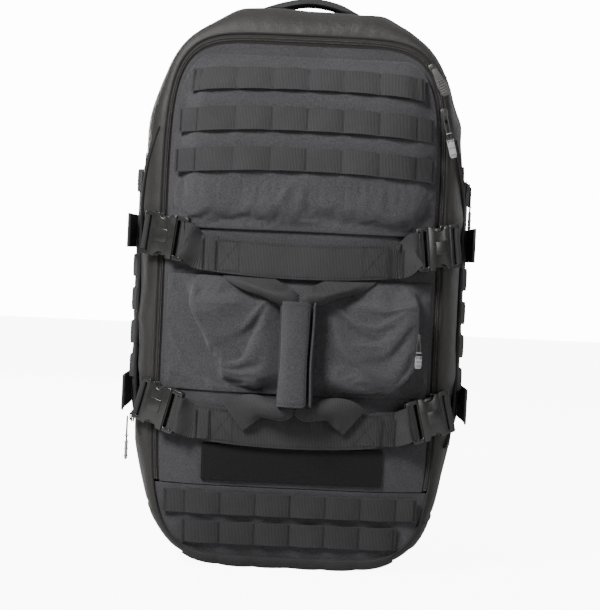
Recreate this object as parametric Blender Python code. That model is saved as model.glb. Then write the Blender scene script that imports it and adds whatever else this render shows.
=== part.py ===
"""A large soft pack that opens like a case: a padded sack with a zipped front, four
compression straps with side-release buckles, carry handles, a shoulder harness and a
hip belt.

Metres, +Z up. The pack stands on its base, on the floor at Z = 0. Its front looks
along -Y, the wearer's back is at +Y, and X runs from its left to its right as seen
from the front.
"""

from math import asin, copysign, cos, degrees, pi, radians, sin

import bmesh
import bpy
from mathutils import Matrix, Vector

# ---------------------------------------------------------------- driving dimensions
HALF_WIDTH = 0.179  # of the sack, without its side pockets
HALF_HEIGHT = 0.312  # of the sack's outline, before its base is flattened
BASE_FLAT = 0.004  # how much of the outline the flat base takes away
SQUARENESS = 4.0  # power of the superellipse: 2 is an ellipse, more is squarer
SQUARER_INWARD = 55.0  # how much the power grows per metre drawn in
SIDE_SHARE = 0.7  # how much of an inset is taken at the sides
BASE_SHARE = 0.5  # and at the base
BACK_Y = 0.112
FRONT_Y = -0.098
FRONT_ROUND = 0.034  # radius from the top to the front
BACK_ROUND = 0.020
DOME = 0.032  # how far the middle of the front swells out
DOME_FALL = 2.2
CENTRE_Z = HALF_HEIGHT - BASE_FLAT
STATURE = HALF_HEIGHT / 0.312  # heights on the sack follow its own height by this share
TOP_Z = CENTRE_Z + HALF_HEIGHT
SEAM = 0.0006  # gap between panels that are sewn edge to edge
REST = 0.0006  # gap between a piece and what it lies on

WALL = 0.004  # padded wall of the sack
CORNER_ANGLE = 38.0  # where the side panels meet the top and the base
ZIP_WIDTH = 0.010
ZIP_THICK = 0.003
FOLD_Z = 0.092 * STATURE  # the lid folds down about this line
FOLD_CLEAR = 0.0025  # from the front to the fold's axis

UPPER_POCKET_THICK = 0.012
UPPER_POCKET_LOW = 0.372 * STATURE
UPPER_POCKET_HIGH = TOP_Z - 0.058
LOWER_POCKET_THICK = 0.026
POCKET_MARGIN = 0.008  # from the lid's edge to its pockets
POCKET_RIM = 0.0035  # thickness of a pocket at its edges
VALLEY_HALF = 0.075  # half width of the hollow in the lower pocket
VALLEY_SHARE = 0.7  # how much thinner the pocket is in its middle

WEB_THICK = 0.002
PALS_HEIGHT = 0.025
PALS_ROWS_LID = [z * STATURE for z in (0.531, 0.487, 0.444)]
PALS_ROWS_SKIRT = [z * STATURE for z in (0.0735, 0.0405)]
PALS_LIFT = 0.0012  # of the rows, over what they are sewn to
BASE_ROW_LOW = 2.1  # the lowest row's edges, in stations of the front rounding
BASE_ROW_HIGH = 0.15
BASE_ROW_REACH = 24.0  # degrees of the outline to each side of the middle
BAND_HEIGHT = 0.038
UPPER_BAND_Z = 0.346 * STATURE
LOWER_BAND_Z = 0.163 * STATURE
LOWER_POCKET_LOW = LOWER_BAND_Z + 0.033
LOWER_POCKET_HIGH = UPPER_BAND_Z - 0.024
BAND_END = HALF_WIDTH - 0.073  # half length of a band
BAND_CUT = 0.006  # its middle hangs lower than its ends by this
BAND_LIFT = 0.006
PALS_ARCH = 0.004  # the middles of the upper rows stand higher by this
PATCH_HALF_WIDTH = 0.098
PATCH_LOW = 0.0985 * STATURE
PATCH_HIGH = 0.1385 * STATURE
PATCH_THICK = 0.0025

SIDE_POCKET_THICK = 0.008
SIDE_POCKET_LOW = 0.140 * STATURE
SIDE_POCKET_HIGH = 0.455 * STATURE
SIDE_POCKET_FRONT = -0.046
SIDE_POCKET_BACK = 0.072

BUCKLE_HEIGHT = 0.048
BUCKLE_BODY = 0.028  # length of the socket's shell
BUCKLE_THICK = 0.011
BUCKLE_BAR_LENGTH = 0.014  # the socket's webbing frame
BUCKLE_SLOT = 0.0045
PLUG_FRAME = 0.013
PLUG_THICK = 0.007
PRONG_LENGTH = 0.021
PRONG_THICK = 0.004
PRONG_PLAY = 0.0006
BUCKLE_X = HALF_WIDTH - 0.031
BUCKLE_Y = -0.112
BUCKLE_YAW = 28.0
UPPER_BUCKLE_Z = 0.362 * STATURE
UPPER_BUCKLE_TILT = 8.0
LOWER_BUCKLE_Z = 0.177 * STATURE
LOWER_BUCKLE_TILT = 16.0
SIDE_STRAP_CLEAR = 0.0135  # from the sack to the strap, over the side pocket
STRAP_RISE = 0.034  # along a tilted buckle, from its middle to the strap

HANDLE_WEB = 0.034
GRIP_HALF = 0.0165
GRIP_LIFT = 0.028  # from the front to the middle of the grip
GRIP_LOW = 0.186 * STATURE
GRIP_HIGH = 0.298 * STATURE
GRIP_DEPTH = 0.020
HANDLE_FOOT_X = 0.058

TOP_HANDLE_HALF = 0.065
TOP_HANDLE_RISE = 0.014
TOP_HANDLE_WIDTH = 0.022
TOP_HANDLE_THICK = 0.004
TOP_HANDLE_Y = 0.070
TOP_HANDLE_FOOT = 0.009  # its width where it folds at its ends
TOP_HANDLE_CLEAR = 0.0058  # the pivot's height over the top panel

BACK_PAD_THICK = 0.014
BACK_PAD_HALF = 0.108
BACK_CHANNEL_HALF = 0.016  # the air channel down the middle of the back pad
BACK_PAD_LOW = 0.185 * STATURE
BACK_PAD_HIGH = 0.505 * STATURE
LUMBAR_LOW = 0.075 * STATURE
LUMBAR_HIGH = 0.175 * STATURE
LUMBAR_HALF = 0.118
LUMBAR_THICK = 0.018
FRAME_SHEET_THICK = 0.002

SHOULDER_WIDTH = 0.064
SHOULDER_THICK = 0.011
SHOULDER_LINE = (  # middle line of the right pad, from its seam down
    (0.056, 0.1225, 0.560),
    (0.060, 0.157, 0.530),
    (0.070, 0.181, 0.467),
    (0.085, 0.183, 0.400),
    (0.100, 0.170, 0.330),
    (0.110, 0.152, 0.268),
)
LADDER_LENGTH = 0.030
LADDER_WIDTH = 0.032
LADDER_THICK = 0.005
STERNUM_Z = 0.435 * STATURE
STERNUM_LENGTH = 0.085
LOWER_WEB_WIDTH = 0.025
LOWER_WEB_LINE = (  # of the right webbing, from the ladder lock to the base corner
    (0.112, 0.138, 0.226),
    (0.124, 0.133, 0.170),
    (0.138, 0.128, 0.115),
    (0.148, 0.121, 0.072),
)
BELT_HEIGHT = 0.080
BELT_THICK = 0.012
BELT_Z = 0.125 * STATURE
BELT_LINE = (  # middle line of the right wing, seen from above
    (0.1235, 0.143),
    (0.148, 0.156),
    (0.166, 0.182),
    (0.172, 0.215),
    (0.168, 0.255),
)

SLIDER_LENGTH = 0.013
SLIDER_WIDTH = 0.008
SLIDER_THICK = 0.0055
SLIDER_INSET = 0.0025  # from the lip of the sack to the middle of the slider
PULL_WIDTH = 0.011
PULL_THICK = 0.004
MAIN_PULL_LENGTH = 0.032
CORD_PULL_LENGTH = 0.048
CORD_PULL = (0.006, 0.003)  # width and thickness
POCKET_PULL_LENGTH = 0.030
POCKET_SLIDER = (0.122, 0.262 * STATURE)  # (x, z)
SIDE_SLIDERS = (("side_left", -1, 0.158 * STATURE), ("side_right", 1, 0.432 * STATURE))  # name, side, height
MAIN_SLIDERS = (  # name, height, direction of the pull, its length
    ("main_a", 0.556 * STATURE, (0.5, 0.0, -0.87), MAIN_PULL_LENGTH),
    ("main_b", 0.508 * STATURE, (0.25, 0.0, -0.97), CORD_PULL_LENGTH),
)

COLOURS = {  # name: (colour, roughness, metallic)
    "body_fabric": ((0.045, 0.044, 0.050), 0.85, 0.0),
    "coated_fabric": ((0.030, 0.027, 0.023), 0.55, 0.0),
    "webbing": ((0.030, 0.030, 0.031), 0.80, 0.0),
    "loop_pile": ((0.012, 0.012, 0.011), 0.98, 0.0),
    "buckle_plastic": ((0.030, 0.029, 0.028), 0.35, 0.0),
    "zip": ((0.022, 0.020, 0.018), 0.50, 0.0),
    "slider_metal": ((0.060, 0.056, 0.050), 0.35, 0.8),
    "pull_rubber": ((0.110, 0.110, 0.112), 0.60, 0.0),
    "mesh_pad": ((0.022, 0.022, 0.024), 0.95, 0.0),
    "frame_plastic": ((0.080, 0.080, 0.080), 0.60, 0.0),
}


# ---------------------------------------------------------------- scene and materials
def clear_scene():
    for thing in list(bpy.data.objects):
        bpy.data.objects.remove(thing, do_unlink=True)


def make_materials():
    made = {}
    for name, (colour, roughness, metallic) in COLOURS.items():
        material = bpy.data.materials.new(name)
        material.use_nodes = True
        shader = material.node_tree.nodes["Principled BSDF"]
        shader.inputs["Base Color"].default_value = (*colour, 1.0)
        shader.inputs["Roughness"].default_value = roughness
        shader.inputs["Metallic"].default_value = metallic
        made[name] = material
    return made


# ---------------------------------------------------------------- shape of the sack
def outline_size(inset, below):
    """Half width, half height and power of the outline drawn in by inset."""
    drop = inset * (BASE_SHARE if below else 1.0)
    power = SQUARENESS + SQUARER_INWARD * inset
    return HALF_WIDTH - SIDE_SHARE * inset, HALF_HEIGHT - drop, power


def half_width_at(z, inset):
    """Half width of the outline at height z, drawn in by inset."""
    half, tall, power = outline_size(inset, z < CENTRE_Z)
    rise = min(abs(z - CENTRE_Z) / tall, 1.0)
    return half * (1 - rise**power) ** (1 / power)


def outline(angle, inset):
    """A point (x, z) of the outline; angle 0 is the right side, 90 the top."""
    c, s = cos(radians(angle)), sin(radians(angle))
    half, tall, power = outline_size(inset, s < 0)
    x = half * copysign(abs(c) ** (2 / power), c)
    z = CENTRE_Z + tall * copysign(abs(s) ** (2 / power), s)
    return x, max(z, 0.0)


def angle_at(z, inset):
    """The angle of the outline's right side at height z."""
    _, tall, power = outline_size(inset, z < CENTRE_Z)
    rise = (z - CENTRE_Z) / tall
    return degrees(asin(copysign(abs(rise) ** (power / 2), rise)))


def front_y(x, z):
    """Depth of the domed front at (x, z)."""
    half, tall, power = outline_size(FRONT_ROUND, z < CENTRE_Z)
    reach = ((abs(x) / half) ** power + (abs(z - CENTRE_Z) / tall) ** power) ** (1 / power)
    return FRONT_Y - DOME * (1 - min(reach, 1.0) ** DOME_FALL)


def front_normal(x, z):
    """The direction that points out of the domed front at (x, z)."""
    step = 0.002
    slope_x = (front_y(x + step, z) - front_y(x - step, z)) / (2 * step)
    slope_z = (front_y(x, z + step) - front_y(x, z - step)) / (2 * step)
    return Vector((slope_x, -1.0, slope_z)).normalized()


def on_front(x, z, lift):
    return Vector((x, front_y(x, z), z)) + front_normal(x, z) * lift


def depth_stations():
    """(y, inset, tilt) along the depth of the sack's outer face, from the front lip
    to the back seam. tilt is the angle from straight outwards towards +Y."""
    stations = []
    front_steps, back_steps = 5, 3
    for i in range(front_steps + 1):
        turn = pi / 2 * (1 - i / front_steps)
        y = FRONT_Y + FRONT_ROUND * (1 - sin(turn))
        stations.append((y, FRONT_ROUND * (1 - cos(turn)), -turn))
    for i in range(back_steps + 1):
        turn = pi / 2 * i / back_steps
        y = BACK_Y - BACK_ROUND * (1 - sin(turn))
        stations.append((y, BACK_ROUND * (1 - cos(turn)), turn))
    return stations


def on_wall(angle, station, lift):
    """A point of the wall that runs round the pack, lifted off its outer face."""
    y, inset, tilt = station
    x, z = outline(angle, inset)
    x0, z0 = outline(angle - 0.5, inset)
    x1, z1 = outline(angle + 0.5, inset)
    outward = Vector((z1 - z0, 0, x0 - x1)).normalized()
    normal = outward * cos(tilt) + Vector((0, 1, 0)) * sin(tilt)
    return Vector((x, y, z)) + normal * lift


# ---------------------------------------------------------------- makers of shapes
def new_object(name, mesh, material):
    data = bpy.data.meshes.new(name)
    bmesh.ops.recalc_face_normals(mesh, faces=mesh.faces)
    if mesh.calc_volume(signed=True) < 0:
        bmesh.ops.reverse_faces(mesh, faces=mesh.faces)
    mesh.to_mesh(data)
    mesh.free()
    made = bpy.data.objects.new(name, data)
    bpy.context.scene.collection.objects.link(made)
    data.materials.append(MATERIALS[material])
    data.shade_smooth()
    data.set_sharp_from_angle(angle=radians(35))
    return made


def slab(name, columns, rows, place, material):
    """A closed sheet with thickness: place(u, v, w) gives its points, with u and v
    from 0 to 1 over the sheet, and w 0 on its inner face and 1 on its outer one."""
    mesh = bmesh.new()
    bmesh.ops.create_grid(mesh, x_segments=columns, y_segments=rows, size=0.5)
    inner = list(mesh.verts)
    grown = bmesh.ops.extrude_face_region(
        mesh, geom=list(mesh.faces), use_keep_orig=True
    )
    outer = [g for g in grown["geom"] if isinstance(g, bmesh.types.BMVert)]
    for verts, w in ((inner, 0.0), (outer, 1.0)):
        for v in verts:
            v.co = place(v.co.x + 0.5, v.co.y + 0.5, w)
    return new_object(name, mesh, material)


def mix(a, b, t):
    return a + (b - a) * t


def ease(t):
    t = min(max(t, 0.0), 1.0)
    return t * t * (3 - 2 * t)


def smooth_line(points, count):
    """Points along a smooth curve through the given ones, ends included."""
    points = [Vector(p) for p in points]
    padded = [2 * points[0] - points[1], *points, 2 * points[-1] - points[-2]]
    line = []
    for i in range(count + 1):
        place = i / count * (len(points) - 1)
        k = min(int(place), len(points) - 2)
        t = place - k
        a, b, c, d = padded[k : k + 4]
        line.append(
            0.5
            * (
                2 * b
                + (c - a) * t
                + (2 * a - 5 * b + 4 * c - d) * t**2
                + (3 * b - a - 3 * c + d) * t**3
            )
        )
    return line


def ribbon(name, line, across, width, thickness, material):
    """A strap: line is its middle line, across(i) the unit direction of its width at
    point i, and width a number or a function of i."""
    last = len(line) - 1

    def place(u, v, w):
        i = round(u * last)
        along = (line[min(i + 1, last)] - line[max(i - 1, 0)]).normalized()
        side = Vector(across(i)).normalized()
        face = along.cross(side).normalized()
        side = face.cross(along)
        full = width(i) if callable(width) else width
        return line[i] + side * full * (v - 0.5) + face * thickness * (w - 0.5)

    return slab(name, last, 1, place, material)


def box_mesh(low, high):
    mesh = bmesh.new()
    bmesh.ops.create_cube(mesh, size=1.0)
    low, high = Vector(low), Vector(high)
    for v in mesh.verts:
        v.co = Vector(mix(low[k], high[k], v.co[k] + 0.5) for k in range(3))
    return mesh


def cut(target, low, high):
    """Cuts a box out of target, in target's own coordinates."""
    cutter = new_object(f"{target.name}_cutter", box_mesh(low, high), "zip")
    modifier = target.modifiers.new("cut", "BOOLEAN")
    modifier.operation = "DIFFERENCE"
    modifier.object = cutter
    cutter.hide_render = True
    cutter.display_type = "WIRE"
    cutter.parent = target
    return cutter


def settle(target):
    """Applies the modifiers of target to its mesh and removes its cutters."""
    bpy.context.view_layer.update()
    graph = bpy.context.evaluated_depsgraph_get()
    finished = bpy.data.meshes.new_from_object(target.evaluated_get(graph))
    target.modifiers.clear()
    target.data = finished
    for child in list(target.children):
        bpy.data.objects.remove(child, do_unlink=True)


# ---------------------------------------------------------------- sack
def gusset(name, low_angle, high_angle, steps, material):
    """A stretch of the wall that runs round the pack, from one angle to another."""
    stations = depth_stations()

    def place(u, v, w):
        station = stations[round(v * (len(stations) - 1))]
        return on_wall(mix(low_angle, high_angle, u), station, (w - 1) * WALL)

    return slab(name, steps, len(stations) - 1, place, material)


def add_sack():
    gap = 0.3  # degrees left at each seam
    low, high = -CORNER_ANGLE + gap, CORNER_ANGLE - gap
    gusset("side_panel_right", low, high, 16, "coated_fabric")
    gusset("side_panel_left", 180 + low, 180 + high, 16, "coated_fabric")
    top, base = (CORNER_ANGLE + gap, 180 - CORNER_ANGLE - gap), 180 + CORNER_ANGLE + gap
    gusset("top_panel", *top, 17, "coated_fabric")
    gusset("base_panel", base, 540 - base, 17, "coated_fabric")


def filled(name, inset, low, high, rows, columns, back, front, material):
    """A plate that fills the outline drawn in by inset, between two heights. back
    and front give y at (x, z)."""
    low = max(low, CENTRE_Z - HALF_HEIGHT + BASE_SHARE * inset + SEAM)
    high = min(high, CENTRE_Z + HALF_HEIGHT - inset - SEAM)

    def place(u, v, w):
        z = mix(low, high, (1 - cos(pi * v)) / 2)
        x = half_width_at(z, inset) * sin(pi / 2 * (2 * u - 1))
        return Vector((x, mix(back(x, z), front(x, z), w), z))

    return slab(name, columns, rows, place, material)


def add_back_panel():
    inset = BACK_ROUND + SEAM
    filled(
        "back_panel", inset, 0.0, 1.0, 14, 6,
        lambda x, z: BACK_Y, lambda x, z: BACK_Y - WALL, "coated_fabric",
    )
    inner = BACK_Y - WALL - REST
    filled(
        "frame_sheet", BACK_ROUND + 0.018, 0.06, 0.56, 8, 4,
        lambda x, z: inner, lambda x, z: inner - FRAME_SHEET_THICK, "frame_plastic",
    )


def add_skirt():
    """The part of the front below the fold, with its rows of webbing."""
    filled(
        "front_skirt", FRONT_ROUND + SEAM, 0.0, FOLD_Z - SEAM, 8, 14,
        lambda x, z: front_y(x, z) + WALL, front_y, "body_fabric",
    )
    for number, z in enumerate(PALS_ROWS_SKIRT, 4):
        half = half_width_at(z - PALS_HEIGHT / 2, FRONT_ROUND) - 0.006
        front_web(f"pals_row_{number}", z, PALS_HEIGHT, half, lambda x, z: PALS_LIFT)
    add_base_row()


def add_base_row():
    """The lowest row, on the rounding between the front and the base."""
    y, inset, tilt = zip(*depth_stations()[:5])

    def place(u, v, w):
        k = mix(BASE_ROW_LOW, BASE_ROW_HIGH, v)
        i, t = int(k), k - int(k)
        station = tuple(mix(part[i], part[i + 1], t) for part in (y, inset, tilt))
        angle = 270 + BASE_ROW_REACH * (2 * u - 1)
        return on_wall(angle, station, PALS_LIFT + w * WEB_THICK)

    slab("pals_row_6", 16, 3, place, "webbing")


def front_web(name, z, height, half, lift, sag=0.0, material="webbing", thick=WEB_THICK):
    """A strip sewn across the front; lift(x, z) is its height over the sack, and its
    middle hangs lower than its ends by sag."""

    def place(u, v, w):
        x = mix(-half, half, u)
        level = z - sag * (1 - (x / half) ** 2) + height * (v - 0.5)
        return on_front(x, level, lift(x, level) + w * thick)

    return slab(name, 15, 2, place, material)


# ---------------------------------------------------------------- lid
def pocket_edge(x, z, low, high):
    """0 at the edges of a pocket, and 1 over most of it."""
    half = half_width_at(z, LID_INSET + POCKET_MARGIN)
    u = min(max((x / half + 1) / 2, 0.0), 1.0)
    v = min(max((z - low) / (high - low), 0.0), 1.0)
    return ease(min(u, 1 - u) / 0.12) * ease(min(v, 1 - v) / 0.22)


def upper_lift(x, z):
    """Height of the upper pocket's face over the lid."""
    edge = pocket_edge(x, z, UPPER_POCKET_LOW, UPPER_POCKET_HIGH)
    return mix(POCKET_RIM, UPPER_POCKET_THICK, edge)


def lower_lift(x, z):
    """Height of the lower pocket's face over the lid: two swells with a valley for
    the carry handles between them."""
    edge = pocket_edge(x, z, LOWER_POCKET_LOW, LOWER_POCKET_HIGH)
    valley = 1 - VALLEY_SHARE * (1 - ease(abs(x) / VALLEY_HALF))
    return mix(POCKET_RIM, LOWER_POCKET_THICK, edge) * valley


def pocket(name, low, high, lift, columns, rows):
    def place(u, v, w):
        z = mix(low, high, v)
        x = half_width_at(z, LID_INSET + POCKET_MARGIN) * (2 * u - 1)
        return on_front(x, z, mix(PALS_LIFT, lift(x, z), w))

    return slab(name, columns, rows, place, "body_fabric")


def add_lid():
    filled(
        "lid_panel", LID_INSET, FOLD_Z + SEAM, 1.0, 16, 14,
        lambda x, z: front_y(x, z) + WALL, front_y, "body_fabric",
    )
    pocket("upper_pocket", UPPER_POCKET_LOW, UPPER_POCKET_HIGH, upper_lift, 16, 8)
    pocket("lower_pocket", LOWER_POCKET_LOW, LOWER_POCKET_HIGH, lower_lift, 18, 8)
    for number, z in enumerate(PALS_ROWS_LID, 1):
        half = half_width_at(z + PALS_HEIGHT / 2, LID_INSET + POCKET_MARGIN) - 0.004
        front_web(
            f"pals_row_{number}", z, PALS_HEIGHT, half,
            lambda x, level: upper_lift(x, level) + PALS_LIFT, -PALS_ARCH,
        )
    for name, z in (("upper_band", UPPER_BAND_Z), ("lower_band", LOWER_BAND_Z)):
        front_web(name, z, BAND_HEIGHT, BAND_END, lambda x, level: BAND_LIFT, BAND_CUT)
    front_web(
        "loop_patch", (PATCH_LOW + PATCH_HIGH) / 2, PATCH_HIGH - PATCH_LOW,
        PATCH_HALF_WIDTH, lambda x, level: REST, 0.0, "loop_pile", PATCH_THICK,
    )


def add_zip():
    """The tape and teeth of the main zip, from the fold up, over the top and down."""

    def place(u, v, w):
        inset = FRONT_ROUND + SEAM + (ZIP_WIDTH - 2 * SEAM) * v
        start = angle_at(FOLD_Z + SEAM, inset)
        x, z = outline(mix(start, 180 - start, u), inset)
        return Vector((x, FRONT_Y + 0.0008 - ZIP_THICK * w, z))

    slab("main_zip", 44, 1, place, "zip")


# ---------------------------------------------------------------- buckles and straps
def buckle_socket_mesh():
    """The half with the shell: its mouth looks along +X, its webbing bar along -X."""
    half, thick = BUCKLE_HEIGHT / 2, BUCKLE_THICK / 2
    socket = new_object(
        "socket_pattern",
        box_mesh((-BUCKLE_BAR_LENGTH, -thick, -half), (BUCKLE_BODY, thick, half)),
        "buckle_plastic",
    )
    inside = half - 0.0035
    cut(socket, (BUCKLE_BODY - PRONG_LENGTH - 0.0015, -0.0028, -inside), (BUCKLE_BODY + 0.01, 0.0028, inside))
    cut(socket, (-BUCKLE_SLOT - 0.001, -0.02, -inside), (-0.001, 0.02, inside))
    for side in (-1, 1):  # the windows where the prongs are pressed
        low, high = sorted((side * (half - 0.0075), side * (half + 0.01)))
        cut(socket, (0.009, -0.02, low), (0.021, 0.02, high))
    bevel = socket.modifiers.new("edges", "BEVEL")
    bevel.width = 0.0012
    bevel.segments = 1
    bevel.limit_method = "ANGLE"
    settle(socket)
    return socket


def buckle_plug_mesh():
    """The half with the prongs, drawn in its latched place in the socket."""
    half, thick = BUCKLE_HEIGHT / 2, PLUG_THICK / 2
    start = BUCKLE_BODY + PRONG_PLAY
    plug = new_object(
        "plug_pattern",
        box_mesh((start, -thick, -half), (start + PLUG_FRAME, thick, half)),
        "buckle_plastic",
    )
    cut(plug, (start + 0.0045, -0.02, -half + 0.0035), (start + 0.0045 + BUCKLE_SLOT, 0.02, half - 0.0035))
    reach = start - PRONG_LENGTH
    shapes = [((reach + 0.004, -0.0035), (start + 0.001, 0.0035))]
    for side in (-1, 1):
        low, high = sorted((side * 0.0145, side * 0.0200))
        shapes.append(((reach, low), (start + 0.001, high)))
    for (x0, z0), (x1, z1) in shapes:
        prong = new_object(
            "prong", box_mesh((x0, -PRONG_THICK / 2, z0), (x1, PRONG_THICK / 2, z1)), "zip"
        )
        join = plug.modifiers.new("prong", "BOOLEAN")
        join.operation = "UNION"
        join.object = prong
        prong.hide_render = True
        prong.display_type = "WIRE"
        prong.parent = plug
    settle(plug)
    return plug


def frame_matrix(origin, x_axis, y_axis, z_axis):
    matrix = Matrix.Identity(4)
    for row in range(3):
        matrix[row][:] = (x_axis[row], y_axis[row], z_axis[row], origin[row])
    return matrix


def buckle_frame(side, z, tilt):
    """Where a buckle sits: side is -1 for the left and 1 for the right. Its local X
    runs outwards along the strap, Y into the pack and Z up."""
    yaw = radians(BUCKLE_YAW)
    along = Vector((side * cos(yaw) * cos(radians(tilt)), sin(yaw), sin(radians(tilt))))
    along.normalize()
    inward = Vector((-side * sin(yaw), cos(yaw), 0.0))
    up = along.cross(inward) * side
    inward = up.cross(along) * side
    middle = Vector((side * BUCKLE_X, BUCKLE_Y, z))
    origin = middle - along * (BUCKLE_BODY + PLUG_FRAME - BUCKLE_BAR_LENGTH) / 2
    return frame_matrix(origin, along, inward, up)


BUCKLES = (
    ("upper_left", -1, UPPER_BUCKLE_Z, UPPER_BUCKLE_TILT),
    ("upper_right", 1, UPPER_BUCKLE_Z, UPPER_BUCKLE_TILT),
    ("lower_left", -1, LOWER_BUCKLE_Z, LOWER_BUCKLE_TILT),
    ("lower_right", 1, LOWER_BUCKLE_Z, LOWER_BUCKLE_TILT),
)


def moved(thing, matrix):
    """Moves the points of thing, and turns its faces back if matrix mirrors them."""
    thing.data.transform(matrix)
    if matrix.determinant() < 0:
        thing.data.flip_normals()
    return thing


def placed_copy(name, pattern, matrix):
    """A copy of a pattern's mesh with its points moved into place."""
    copy = bpy.data.objects.new(name, pattern.data.copy())
    moved(copy, matrix)
    bpy.context.scene.collection.objects.link(copy)
    return copy


def add_buckles():
    socket, plug = buckle_socket_mesh(), buckle_plug_mesh()
    for name, side, z, tilt in BUCKLES:
        matrix = buckle_frame(side, z, tilt)
        placed_copy(f"buckle_socket_{name}", socket, matrix)
        placed_copy(f"buckle_plug_{name}", plug, matrix)
    bpy.data.objects.remove(socket)
    bpy.data.objects.remove(plug)


def add_side_straps():
    """The webbing that runs from the back seam, over the side, to behind a plug."""
    for name, side, z, tilt in BUCKLES:
        level = z + STRAP_RISE * sin(radians(tilt))
        stations = depth_stations()
        front, back = stations[5], stations[6]
        straight = [(mix(front[0], back[0], i / 6), 0.0, 0.0) for i in range(1, 6)]
        line = []
        for y, inset, _ in stations[4:6] + straight + stations[6:9]:
            x = half_width_at(level, inset) + SIDE_STRAP_CLEAR
            line.append(Vector((side * x, y, level)))
        ribbon(f"side_strap_{name}", line, lambda i: (0, 0, 1), BAND_HEIGHT, WEB_THICK, "webbing")


# ---------------------------------------------------------------- pockets on the sides
def add_side_pockets():
    for name, side in (("left", -1), ("right", 1)):

        def place(u, v, w):
            y = mix(SIDE_POCKET_FRONT, SIDE_POCKET_BACK, u)
            z = mix(SIDE_POCKET_LOW, SIDE_POCKET_HIGH, v)
            edge = ease(min(u, 1 - u) / 0.15) * ease(min(v, 1 - v) / 0.12)
            lift = mix(REST, mix(0.003, SIDE_POCKET_THICK, edge), w)
            return Vector((side * (half_width_at(z, 0.0) + lift), y, z))

        slab(f"side_pocket_{name}", 7, 12, place, "coated_fabric")


# ---------------------------------------------------------------- carry handles
def add_carry_handles():
    """Two straps that meet in a wrapped grip in front of the lower pocket."""
    high, low = LOWER_POCKET_HIGH - 0.002, LOWER_POCKET_LOW - 0.017
    for name, side in (("left", -1), ("right", 1)):
        spots = (
            (HANDLE_FOOT_X, high, 0.0195),
            (0.036, high - 0.010, 0.028),
            (0.0085, GRIP_HIGH + 0.003, GRIP_LIFT + 0.0005),
            (0.0076, (GRIP_HIGH + GRIP_LOW) / 2, GRIP_LIFT),
            (0.0090, GRIP_LOW - 0.005, GRIP_LIFT + 0.0005),
            (0.038, low + 0.007, 0.022),
            (HANDLE_FOOT_X, low, 0.0135),
        )
        line = smooth_line([on_front(side * x, z, lift) for x, z, lift in spots], 20)

        def width(i):
            middle = abs(i / 20 - 0.5) * 2
            return mix(0.012, HANDLE_WEB - 0.006, ease((middle - 0.46) / 0.5))

        def across(i, line=line):
            ahead = line[min(i + 1, 20)] - line[max(i - 1, 0)]
            return ahead.cross(Vector((0, 1, 0)))

        ribbon(f"carry_handle_{name}", line, across, width, 0.003, "webbing")
    add_grip()


def add_grip():
    """The wrap: a sleeve round both straps, open on its right side."""
    middle = on_front(0.0, (GRIP_HIGH + GRIP_LOW) / 2, GRIP_LIFT)
    wrap = box_mesh(
        (-GRIP_HALF - 0.002, middle.y - GRIP_DEPTH / 2, GRIP_LOW),
        (GRIP_HALF + 0.002, middle.y + GRIP_DEPTH / 2, GRIP_HIGH),
    )
    sleeve = new_object("handle_wrap", wrap, "body_fabric")
    cut(
        sleeve,
        (-GRIP_HALF, middle.y - GRIP_DEPTH / 2 + 0.003, GRIP_LOW - 0.01),
        (GRIP_HALF + 0.02, middle.y + GRIP_DEPTH / 2 - 0.003, GRIP_HIGH + 0.01),
    )
    settle(sleeve)


def add_top_handle():
    """An arch of webbing at the back of the top; its pivot runs through its feet."""
    _, top = outline(90, 0.0)
    foot = top + TOP_HANDLE_CLEAR
    line = []
    for i in range(19):
        turn = pi * i / 18
        flat = copysign(abs(cos(turn)) ** 0.7, cos(turn))
        line.append(Vector((-TOP_HANDLE_HALF * flat, TOP_HANDLE_Y, foot + TOP_HANDLE_RISE * sin(turn) ** 0.8)))

    def width(i):
        return mix(TOP_HANDLE_FOOT, TOP_HANDLE_WIDTH, ease((1 - abs(i / 9 - 1)) / 0.35))

    ribbon("top_handle", line, lambda i: (0, 1, 0), width, TOP_HANDLE_THICK, "webbing")


# ---------------------------------------------------------------- back and harness
def pad(name, half, low, high, thickness, channel=None):
    """A cushion on the back panel, thinner towards its edges and, where it has one,
    along its middle channel."""

    def place(u, v, w):
        x = half * (2 * u - 1)
        full = mix(0.5, 1.0, ease(min(u, 1 - u) / 0.2) * ease(min(v, 1 - v) / 0.08))
        if channel:
            full *= mix(0.35, 1.0, ease(abs(x) / channel - 0.5))
        return Vector((x, BACK_Y + REST + w * full * thickness, mix(low, high, v)))

    return slab(name, 16 if channel else 8, 8, place, "mesh_pad")


def add_back():
    pad("back_pad", BACK_PAD_HALF, BACK_PAD_LOW, BACK_PAD_HIGH, BACK_PAD_THICK, BACK_CHANNEL_HALF)
    pad("lumbar_pad", LUMBAR_HALF, LUMBAR_LOW, LUMBAR_HIGH, LUMBAR_THICK)


def mirrored(points, side):
    return [Vector((side * p[0], *p[1:])) for p in points]


def at_stature(points):
    """The same line of the harness on a sack of this height."""
    return [(x, y, z * STATURE) for x, y, z in points]


def add_harness():
    for name, side in (("left", -1), ("right", 1)):
        line = smooth_line(mirrored(at_stature(SHOULDER_LINE), side), 16)

        def width(i):
            return mix(SHOULDER_WIDTH, 0.040, ease((i / 16 - 0.45) / 0.55))

        ribbon(f"shoulder_pad_{name}", line, lambda i: (1, 0, 0), width, SHOULDER_THICK, "mesh_pad")
        ladder_lock(name, side, line)
        web = smooth_line(mirrored(at_stature(LOWER_WEB_LINE), side), 8)
        ribbon(f"lower_webbing_{name}", web, lambda i: (1, 0, 0), LOWER_WEB_WIDTH, WEB_THICK, "webbing")
        sternum_strap(name, side)


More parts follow.
